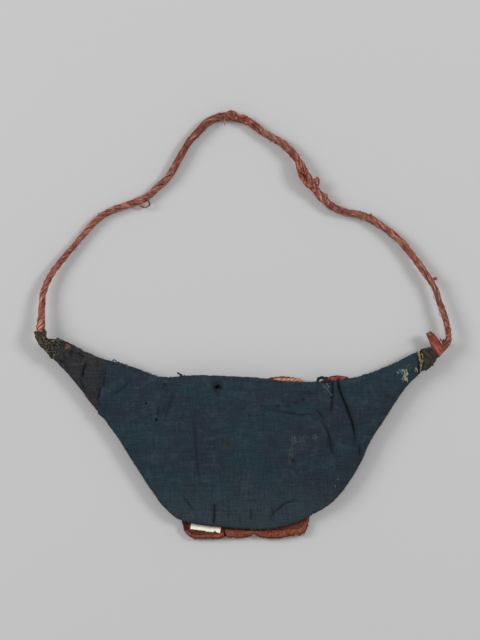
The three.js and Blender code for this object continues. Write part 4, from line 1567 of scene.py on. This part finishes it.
def oversew(edge, inward, surface, spacing, reach, seed):
    """Lines of the stitches over an edge. inward is 1 where the cloth is on the left of the edge."""
    chance = random.Random(seed)
    lines = []
    reached = distances(edge)
    count = int(reached[-1] / MM / spacing)
    for stitch in range(count):
        at = (stitch + 0.5 + 0.3 * chance.uniform(-1, 1)) / count * reached[-1]
        index = max(i for i, far in enumerate(reached[:-1]) if far <= at)
        ahead = edge[index + 1] - edge[index]
        spot = (edge[index] + ahead * (at - reached[index]) / ahead.length) / MM
        ahead.normalize()
        into = Vector((-ahead.y, ahead.x, 0)) * inward
        lean = ahead * chance.uniform(-1.2, 1.2)
        start = spot + into * reach * chance.uniform(0.8, 1.2) + lean
        top = height_at(surface, start.x, start.y, spot.z)
        halfway = spot + into * reach * 0.4 + lean * 0.4
        middle = height_at(surface, halfway.x, halfway.y, spot.z)
        lines.append([
            (start.x, start.y, top - 0.5),
            (start.x * 0.8 + halfway.x * 0.2, start.y * 0.8 + halfway.y * 0.2, top + 0.15),
            (halfway.x, halfway.y, middle + 0.2),
            (spot.x - into.x * 0.25, spot.y - into.y * 0.25, spot.z - 1.2),
            (spot.x + into.x * 0.6, spot.y + into.y * 0.6, spot.z - 2.0),
        ])
    return lines


print("stitch helpers ready")

# %% Stitches along foot and mouth
FOOT_SPACING, FOOT_REACH = 5.2, 2.6
ARM_REACH = 2.4
MOUTH_SPACING, MOUTH_REACH = 3.4, 1.5
back_surface = surface_of(back)
arm_surface = surface_of(arm)
arm_mouth, arm_foot = wall_edges("left_arm_panel", ARM_CORNERS)
drawn_foot = [drawn_in(spot) for spot in arm_foot]
foot_lines = oversew(back_foot, 1, back_surface, FOOT_SPACING, FOOT_REACH, seed=1)
foot_lines += oversew(drawn_foot, 1, arm_surface, FOOT_SPACING, ARM_REACH, seed=2)
dark_thread = yarn_finish("dark thread", srgb(30, 34, 36), srgb(52, 56, 52), seed=23)
foot_stitches = sew_threads("foot_stitches", foot_lines, dark_thread, radius=0.32)
mouth_lines = oversew(back_mouth, -1, back_surface, MOUTH_SPACING, MOUTH_REACH, seed=3)
mouth_lines += oversew(arm_mouth, -1, arm_surface, MOUTH_SPACING, MOUTH_REACH, seed=4)
mouth_thread = yarn_finish("mouth thread", srgb(48, 52, 48), srgb(78, 80, 70), seed=25)
mouth_stitches = sew_threads("mouth_stitches", mouth_lines, mouth_thread, radius=0.22)

# %% Whip stitches at the right wrap and at the grey arm's corner
PALE_STITCHES = [
    [(153.6, 70.2, 12.2), (155.2, 69, 14.2), (156.6, 66.8, 15.2), (156.6, 64.2, 15.7)],
    [(154, 67.8, 13.4), (156.2, 65.6, 15.4), (157.4, 62.8, 15.9), (157, 60, 15.9)],
    [(154.8, 63.8, 14.6), (156.8, 61.6, 15.9), (157.6, 58.8, 15.6), (156.8, 56.4, 14.8)],
    [(155.2, 60, 14.8), (157, 57.6, 15.4), (157.2, 54.8, 14.2), (156.2, 53, 12)],
    [(157.4, 68.4, 14.6), (158.9, 65.4, 15.9), (158.6, 61.8, 16.3), (157, 58.6, 16)],
    [(155.2, 70.8, 12), (155.8, 68.4, 14.4), (155.4, 65.2, 15.2), (155.8, 61.4, 15.6)],
]
OLIVE_STITCHES = [
    [(-129.6, 43, 10.4), (-128, 40.6, 12), (-126.8, 38, 11.8), (-126.4, 35.6, 10.2)],
    [(-127, 39.6, 10.6), (-125.6, 37, 12), (-124, 35.4, 11.8), (-122.4, 35, 10.4)],
    [(-117.6, 25.4, 9.8), (-116.2, 22.6, 11.4), (-115.6, 19.8, 10.8), (-116, 17.6, 9.4)],
]
pale_thread = yarn_finish(
    "pale yellow thread", srgb(70, 58, 38), srgb(172, 152, 114), seed=27, stretch=3, contrast=1.1
)
sew_threads("wrap_stitches", PALE_STITCHES, pale_thread, radius=0.38)
olive_thread = yarn_finish("olive thread", srgb(84, 78, 52), srgb(120, 108, 72), seed=29)
olive_stitches = sew_threads("arm_stitches", OLIVE_STITCHES, olive_thread, radius=0.4)

# %% [markdown]
# ## Red lining under the holes and edges
# Where the grey cloth is eaten through, a red lining shows, and a thread of it peeps out along the left
# foot edge and at one worn place on the right. A small patch and two thin rolls stand for it.

# %% Red lining
LINING_PATCH = {"x": -142.8, "y": 73.6, "width": 9.6, "height": 8, "below": 1.1, "otherwise": 10.6}
RED_EDGES = [
    [(-128.4, 32.6, 8.7), (-124.6, 28, 8.8), (-120.6, 23.1, 8.8), (-116.4, 17.9, 8.7)],
    [(109.4, -17, 9.2), (108.4, -19.2, 9.2), (107.2, -21.8, 9.2), (106, -24.4, 9)],
]
LINING_INSET = 1  # how far the lining stays inside the mouth's edge
LINING_THICK = 0.6
arm_mouth_table = [(point.x / MM, point.y / MM) for point in arm_mouth]
arm_side = one_side("left_arm_panel", 1)
arm_ground = BVHTree.FromBMesh(arm_side)
arm_side.free()
lining_bm = bmesh.new()
lining_grid = bmesh.ops.create_grid(lining_bm, x_segments=24, y_segments=18, size=0.5)
for vert in lining_grid["verts"]:
    x = LINING_PATCH["x"] + vert.co.x * LINING_PATCH["width"]
    y = LINING_PATCH["y"] + vert.co.y * LINING_PATCH["height"]
    # rows that would pass the edge are packed into the last millimetre before it
    y = min(y, in_table(arm_mouth_table, x) - LINING_INSET - 0.5 + vert.co.y)
    top = height_at(arm_ground, x, y, LINING_PATCH["otherwise"])
    z = top - LINING_PATCH["below"] + 0.35 * soft_noise(x, y, 1.8, 2.0)
    vert.co = Vector((x, y, z)) * MM
give_thickness(lining_bm, LINING_THICK, up=1)
lining_finish = yarn_finish(
    "pink lining", srgb(88, 60, 54), srgb(146, 106, 96), seed=31, stretch=1.6, contrast=1.2
)
lining = new_piece("arm_lining", lining_bm, lining_finish)
edge_bm = bmesh.new()
for line in RED_EDGES:
    lay_yarn(edge_bm, line, radius=0.6, pitch=5, spacing=0.5)
new_piece("red_edges", edge_bm, red_roll_finish)

# %% [markdown]
# ## Loose threads on the cloth
# Old cloth sheds. Small blue loops stand on the mouth's edge at the left, a dark sprig beside the middle,
# and pale threads lie in the crease at the right. Hair would scatter them anywhere. They are few and each
# has its place, so each is a short line of points that becomes a thin tube.

# %% Loose threads
BLUE_LOOPS = [
    [(-105.6, 60.2, 11), (-104.8, 62.6, 12.2), (-102.8, 63.4, 12.6), (-101.2, 61.6, 12.4),
     (-102, 59.4, 11.4)],
    [(-102.4, 59.8, 11), (-100.2, 62, 12.2), (-98, 60.6, 12.2), (-98.8, 58.6, 11.4)],
    [(-96.4, 58, 11), (-93.8, 59.6, 12), (-91.4, 58, 11.8), (-92, 56.2, 11.2)],
]
DARK_SPRIG = [
    [(-45.4, 47.6, 12.6), (-46.4, 49.8, 13.4), (-48.2, 51.4, 13.8), (-49.8, 51.8, 13.6)],
    [(-46.2, 47.4, 12.6), (-44.6, 49.4, 13.6), (-42.8, 49.4, 13.6)],
    [(-47.6, 47.4, 12.8), (-47, 49.4, 13.8), (-45.6, 50.6, 13.6)],
]
PALE_LINT = [
    [(74.1, 43, 14.6), (76, 40.4, 15.7), (78, 37, 16.3), (80.9, 32.8, 16.7)],
    [(76.4, 43.6, 14.4), (77.8, 41.4, 15.4), (79.2, 39.4, 15.9)],
    [(72.8, 42.4, 15), (74.4, 40.4, 15.8), (75.2, 38.6, 16.4)],
    [(85.6, -38, 15.4), (86.4, -38.6, 15.9), (87, -38.2, 15.4)],
    [(84, -43, 15), (84.4, -44.4, 15.4), (84.2, -45.6, 14.9)],
]
lint_thread = yarn_finish("grey lint", srgb(112, 116, 108), srgb(150, 152, 140), seed=43)
blue_thread = yarn_finish("blue thread", srgb(38, 58, 70), srgb(58, 80, 94), seed=33)
blue_loops = sew_threads("blue_loops", BLUE_LOOPS, blue_thread, radius=0.6)
sprig = sew_threads("dark_sprig", DARK_SPRIG, dark_thread, radius=0.85)
lint = sew_threads("pale_lint", PALE_LINT, lint_thread, radius=0.13)

# %% [markdown]
# ## Bared threads
# On the right arm the cloth is rubbed down to its white threads. The finish can only tint the cloth, so
# short loose threads are laid on the worn places, each at the height of the cloth under it.

# %% Bared threads at the worn place on the right
# x, y, half width and half height of the place, and how many threads are bared there
WORN_PLACES = [(141.5, 53, 4.2, 1.4, 13), (143.8, 48.6, 1.8, 3.8, 16), (153, 54.8, 1, 1.8, 5)]
# where along a thread its points are, and how far over the cloth they stand
WORN_RISES = [(-1, -0.2), (0, 0.25), (1, -0.1)]
WORN_LEVEL = 12  # for a point beside the cloth
worn_chance = random.Random(15)
worn_lines = []
for middle_x, middle_y, half_width, half_height, count in WORN_PLACES:
    for _ in range(count):
        x = middle_x + half_width * worn_chance.uniform(-1, 1)
        y = middle_y + half_height * worn_chance.uniform(-1, 1)
        heading = Vector((worn_chance.uniform(0.2, 0.7), -1, 0)) * worn_chance.uniform(0.5, 1.2)
        line = []
        for part, rise in WORN_RISES:
            spot = Vector((x, y, 0)) + heading * part
            spot.z = height_at(back_surface, spot.x, spot.y, WORN_LEVEL) + rise
            line.append(spot)
        worn_lines.append(line)
worn_thread = yarn_finish(
    "bared white threads", srgb(120, 124, 114), srgb(204, 200, 182), seed=51, stretch=1.5
)
worn_threads = sew_threads("worn_threads", worn_lines, worn_thread, radius=0.24)

# %% [markdown]
# ## Fray, tufts and the notch
# Cut edges fray: short threads stand out of the mouth, the foot and the flap's outline. The flap's rubbed
# corner has tufts of its filling, and one crossed stitch holds the notch between two lobes. A particle
# system would do for the fray, but plain lines with a fixed seed come out the same in every run.


# %% Fray helpers
def fray_edge(edge, inward, spacing, length, seed):
    """Lines of the short threads that stand out of a cut edge."""
    chance = random.Random(seed)
    lines = []
    for start, stop in zip(edge, edge[1:]):
        ahead = (stop - start).normalized()
        out = Vector((ahead.y, -ahead.x, 0)) * inward
        for _ in range(round((stop - start).length / MM / spacing)):
            root = start.lerp(stop, chance.random()) / MM - out * 0.5
            lean = ahead * chance.uniform(-1, 1) + Vector((0, 0, chance.uniform(-0.4, 0.5)))
            reach = length * chance.uniform(0.3, 1)
            middle = root + (out + lean * 0.4) * (0.5 + 0.5 * reach)
            tip = root + out * (0.5 + 0.8 * reach) + lean * reach
            lines.append([tuple(root), tuple(middle), tuple(tip)])
    return lines


def lowest_edge(piece, first_x, last_x, pace):
    """The piece's lower outline as seen from above, point by point from left to right."""
    lowest = {}
    for vert in piece.data.vertices:
        at = round(vert.co.x / MM / pace)
        if first_x <= at * pace <= last_x and (at not in lowest or vert.co.y < lowest[at].y):
            lowest[at] = vert.co.copy()
    return [lowest[at] for at in sorted(lowest)]


print("fray helpers ready")

# %% Fray along the edges
FRAY_SPACING = 1.9
FLAP_PACE = 2  # the flap's outline has a point at every second millimetre
fray_lines = fray_edge(back_mouth, -1, spacing=FRAY_SPACING, length=1.3, seed=5)
fray_lines += fray_edge(back_foot, 1, spacing=FRAY_SPACING * 2, length=1.0, seed=6)
cloth_fray = sew_threads("cloth_fray", fray_lines, blue_thread, radius=0.14)
straw_thread = yarn_finish("straw thread", srgb(112, 70, 46), srgb(168, 136, 92), seed=47, stretch=3)
flap_outline = lowest_edge(binding, -44, 58, FLAP_PACE)
rubbed_corner = lowest_edge(binding, 48, 60, FLAP_PACE)
flap_lines = fray_edge(flap_outline, 1, spacing=1.5, length=1.5, seed=7)
flap_lines += fray_edge(rubbed_corner, 1, spacing=0.7, length=2.2, seed=8)
sew_threads("flap_fray", flap_lines, straw_thread, radius=0.24)

# %% Tufts and notch stitches of the flap
TUFT_COUNT = 34
TUFT_LENGTH = 1.3
FLAP_FACE = 1.5  # lower hits are not on the flap's face
NOTCH_STITCHES = [
    [(13.4, -84.6, 4.8), (14.2, -85.6, 5.2), (14.8, -86.6, 4.6), (14.9, -87.2, 3.6)],
    [(15.6, -84.6, 4.8), (14.8, -85.8, 5.2), (14.3, -86.6, 4.6), (14.2, -87.3, 3.6)],
]
binding_surface = surface_of(binding)
tuft_chance = random.Random(13)
tuft_lines = []
for _ in range(TUFT_COUNT):
    x, y = tuft_chance.uniform(46, 60.5), tuft_chance.uniform(-87, -77)
    heading = Vector((tuft_chance.uniform(-1, 1), tuft_chance.uniform(-1, 0.4), 0)) * TUFT_LENGTH
    root = Vector((x, y, height_at(binding_surface, x, y, 0)))
    if root.z > FLAP_FACE:
        middle = root + heading * 0.5 + Vector((0, 0, 0.7))
        tip = root + heading + Vector((0, 0, 0.2))
        tuft_lines.append([root, middle, tip])
gold_thread = yarn_finish("gold tufts", srgb(136, 84, 54), srgb(190, 142, 96), seed=49, stretch=2)
sew_threads("flap_tufts", tuft_lines, gold_thread, radius=0.22)
sew_threads("notch_stitches", NOTCH_STITCHES, cream_thread, radius=0.45)

# %% [markdown]
# ## Knots, loops and fray of the strap
# The strap was mended. A thin pink thread is wound round it at the top with its end hanging down, one ply
# has come loose on the right and bows away from the rest, and loops and stubs stick out where strips were
# joined. Dark threads in the gaps beside the loose ply are painted shade. The tail's cut edges are frayed.
# Each of these is short yarn or thread along a line of a few points.

# %% Tables of the strap's repairs
LOOSE_PLY = [
    (50.4, 236, 8), (52.4, 228.8, 9.4), (54.4, 220.8, 9.8), (58.4, 213.8, 9.6), (64, 208.6, 9),
    (70.4, 203, 7.6),
]
LUMPS = [
    {"line": [(-8.6, 272.4, 5.4), (-5, 274, 6), (-1.6, 273.4, 5.6), (1, 271, 5.4)], "radius": 1.6},
    {"line": [(-1, 268, 6.4), (3, 269.8, 6.8), (6.6, 270, 6.6), (10.4, 268.6, 6)], "radius": 1.8},
    {"line": [(7, 264, 6.6), (11.6, 265.4, 7), (15.6, 263.6, 6.6)], "radius": 1.6},
    {"line": [(53.4, 231, 7.2), (55.8, 223.8, 7.6), (59.6, 216.6, 7.6), (64.4, 210.6, 7.2)], "radius": 1.9},
    {"line": [(64.6, 213.6, 9), (67.4, 215.8, 9.6), (70, 213.8, 9)], "radius": 1.4},
    {"line": [(113.6, 184.8, 6.2), (114.8, 186.6, 6.8), (115.8, 187, 6.4)], "radius": 0.9},
    {"line": [(166.4, 130, 9.2), (169, 132, 9.8), (171.2, 131.4, 9.4)], "radius": 1.4},
    {"line": [(173.4, 106, 10.6), (175.8, 103.4, 11.2), (177.6, 100.6, 10.8)], "radius": 1.1},
    {"line": [(176.8, 99, 10), (179, 97, 11.2), (181, 95.4, 10)], "radius": 1.3},
    {"line": [(178.8, 91.4, 10.2), (181, 89.6, 11.4), (182.8, 87.6, 10.2)], "radius": 1.3},
    {"line": [(178.6, 84.2, 10.6), (180.6, 82, 11.8), (182, 79.6, 10.6)], "radius": 1.2},
]
STRAP_LOOPS = [
    [(-86, 198.4, 4.6), (-82.6, 194.6, 4.6), (-77.6, 192.8, 4.4), (-73.6, 195.4, 5), (-76, 199.6, 6)],
    [(66.4, 210, 8.6), (67.4, 215.2, 9.4), (69.2, 218, 9.6), (70.6, 214.6, 9.2), (69.4, 208.6, 8.6)],
    [(74, 201.6, 8.4), (76.2, 204, 9), (77.8, 202.2, 8.8), (77, 198.6, 8)],
]
# painted shade: dark threads in the gaps beside the loose ply, seen from above
STRAP_GAPS = [
    [(54.5, 228), (55.4, 226.8), (56.6, 225.8)],
    [(55.2, 222.2), (57.2, 220.2), (59.4, 218)],
    [(61.6, 215.9), (63.2, 214), (65.1, 212.3)],
]
TAIL_FRAY = [
    [(163.2, 83.4, 12.2), (162.4, 84.8, 12.8), (161.8, 85.6, 12.4)],
    [(165, 85, 13), (165.4, 86, 13.4), (166.2, 86.2, 12.8)],
    [(163.8, 85, 13.4), (163.6, 86.2, 13.8), (164.2, 86.8, 13.2)],
    [(174.4, 78.6, 12.4), (174, 80.2, 13), (173.4, 80.8, 12.6)],
    [(175.8, 78.4, 13), (175.8, 79.8, 13.6), (176.4, 80.4, 13.2)],
    [(176.6, 76, 13.6), (174.8, 77.6, 14.2), (175.2, 79, 13.8)],
]
print(len(LUMPS), "lumps and", len(STRAP_LOOPS), "loops on the strap")

# %% Wound thread
WOUND_AT = Vector((-8.5, 270.6))
WOUND_RADIUS = 3.75
WOUND_TURNS = (-2, 0, 2)  # points of the path before and behind its middle
WOUND_END = [(-9.4, 267.4, 5.8), (-10, 265.4, 6.2), (-9.6, 264.4, 5.2), (-9.8, 263.2, 4.4)]
RING_CORNERS = 10
THREAD_FLOOR = 0.6  # the wound thread is pressed flat against the table
strap_sides = cross_frames(strap_path)
off_wound = [(spot.xy - WOUND_AT * MM).length for spot in strap_path]
near_wound = off_wound.index(min(off_wound))
wound_lines = []
for turn_at in WOUND_TURNS:
    side, up = strap_sides[near_wound + turn_at]
    ring = []
    for corner in range(RING_CORNERS + 2):
        angle = 2 * math.pi * corner / RING_CORNERS
        outward = side * math.cos(angle) + up * math.sin(angle)
        spot = strap_path[near_wound + turn_at] / MM + outward * WOUND_RADIUS
        ring.append((spot.x, spot.y, max(THREAD_FLOOR, spot.z)))
    wound_lines.append(ring)
wound_lines.append(WOUND_END)
pink_thread = yarn_finish("pink thread", srgb(132, 72, 66), srgb(176, 116, 104), seed=35)
wound_thread = sew_threads("wound_thread", wound_lines, pink_thread, radius=0.45)

# %% Loose ply, lumps, loops and gaps
PLY_RADIUS = 1.8
PLY_LEVEL = 9  # for a point beside the ply
GAP_RISE = 0.05  # the dark threads of painted shade in the gaps lie this far over the yarn
STRAP_LOOP_YARN = 0.7  # the radius of the loops' yarn
repair_bm = bmesh.new()
lay_yarn(repair_bm, LOOSE_PLY, PLY_RADIUS, pitch=9)
for lump in LUMPS:
    lay_yarn(repair_bm, lump["line"], lump["radius"], pitch=4, spacing=0.4)
for line in STRAP_LOOPS:
    lay_yarn(repair_bm, line, STRAP_LOOP_YARN, pitch=3, spacing=0.5)
frayed_finish = yarn_finish(
    "frayed strap cloth", srgb(110, 48, 38), srgb(166, 104, 80), seed=37, stretch=2.6, contrast=1.3
)
repairs = new_piece("strap_repairs", repair_bm, frayed_finish)
repairs_surface = surface_of(repairs)
gap_lines = []
for line in STRAP_GAPS:
    gap_lines.append([(x, y, height_at(repairs_surface, x, y, PLY_LEVEL) + GAP_RISE) for x, y in line])
# painted shade: the gap threads stand for shade between the plies
gap_shade_finish = yarn_finish("dark gap thread", srgb(36, 18, 14), srgb(62, 34, 26), seed=53)
strap_gap_shade = sew_threads("strap_gap_shade_threads", gap_lines, gap_shade_finish, radius=0.5)
tail_thread = yarn_finish("dark tail fray", srgb(58, 32, 25), srgb(104, 62, 46), seed=45)
tail_fray = sew_threads("tail_fray", TAIL_FRAY, tail_thread, radius=0.5)

# %% [markdown]
# ## The strap's fibres
# Fine fibres stand up all along the strap, more of them towards its worn right end. Each starts on the
# tube's surface, leans along the strap and lifts off a little, and none goes under the table.

# %% Strap fibres
FIBRE_COUNT = 760
FIBRE_LENGTHS = (1.5, 5.5)
FIBRE_LIFTS = (0.05, 0.35)
FIBRE_FLOOR = 0.25
FIBRE_PARTS = (0.35, 0.7, 1.0)
fibre_chance = random.Random(11)
fibre_lines = []
for _ in range(FIBRE_COUNT):
    share = fibre_chance.random() ** 0.6
    index = min(len(strap_path) - 6, int(5 + share * (len(strap_path) - 12)))
    side, up = strap_sides[index]
    ahead = (strap_path[index + 1] - strap_path[index]).normalized()
    angle = fibre_chance.uniform(0, 2 * math.pi)
    outward = side * math.cos(angle) + up * math.sin(angle)
    around = up * math.cos(angle) - side * math.sin(angle)
    radius = in_table(STRAP_RADII, strap_reached[index] / MM)
    length = fibre_chance.uniform(*FIBRE_LENGTHS)
    start = strap_path[index] / MM + outward * radius
    bend = ahead * fibre_chance.choice((-1, 1)) * 0.7 + around * fibre_chance.uniform(-0.6, 0.6)
    lift = fibre_chance.uniform(*FIBRE_LIFTS)
    spots = [start - outward * 0.3]
    for part in FIBRE_PARTS:
        spots.append(start + bend * length * part + outward * (length * lift * part))
    fibre_lines.append([(spot.x, spot.y, max(FIBRE_FLOOR, spot.z)) for spot in spots])
fibre_finish = yarn_finish("strap fibres", srgb(128, 74, 58), srgb(176, 124, 98), seed=39)
fibres_piece = sew_threads("strap_fibres", fibre_lines, fibre_finish, radius=0.11)

# %% [markdown]
# ## The cloths' cut sizes
# Each cloth is listed with the rectangle it was cut from, what it lies on and the pieces on it, and the
# area of each is printed.

# %% Sheets
back_pieces = [foot_stitches, mouth_stitches, blue_loops, sprig, lint, worn_threads, cloth_fray]
# each cloth, the rectangle that it is cut from in metres, what it lies on and the pieces on it
SHEETS = [
    {"cloth": back, "cut": (0.278, 0.160), "on": [front], "pieces": back_pieces},
    {"cloth": front, "cut": (0.322, 0.168), "on": [ground], "pieces": []},
    {"cloth": arm, "cut": (0.056, 0.066), "on": [front], "pieces": [olive_stitches, lining]},
    {"cloth": ground, "cut": (0.146, 0.126), "on": [], "pieces": []},
    {"cloth": patch, "cut": (0.0264, 0.0134), "on": [ground], "pieces": []},
]


def cut_area(piece):
    """The area of one side of a closed cloth, in square metres."""
    return sum(face.area for face in piece.data.polygons) / 2


for row in SHEETS:
    cloth, (width, length) = row["cloth"], row["cut"]
    area = min(cut_area(cloth), width * length)
    print(f"{cloth.name}: cut {width:.3f} by {length:.3f} m, {area * 1e4:.1f} square centimetres")
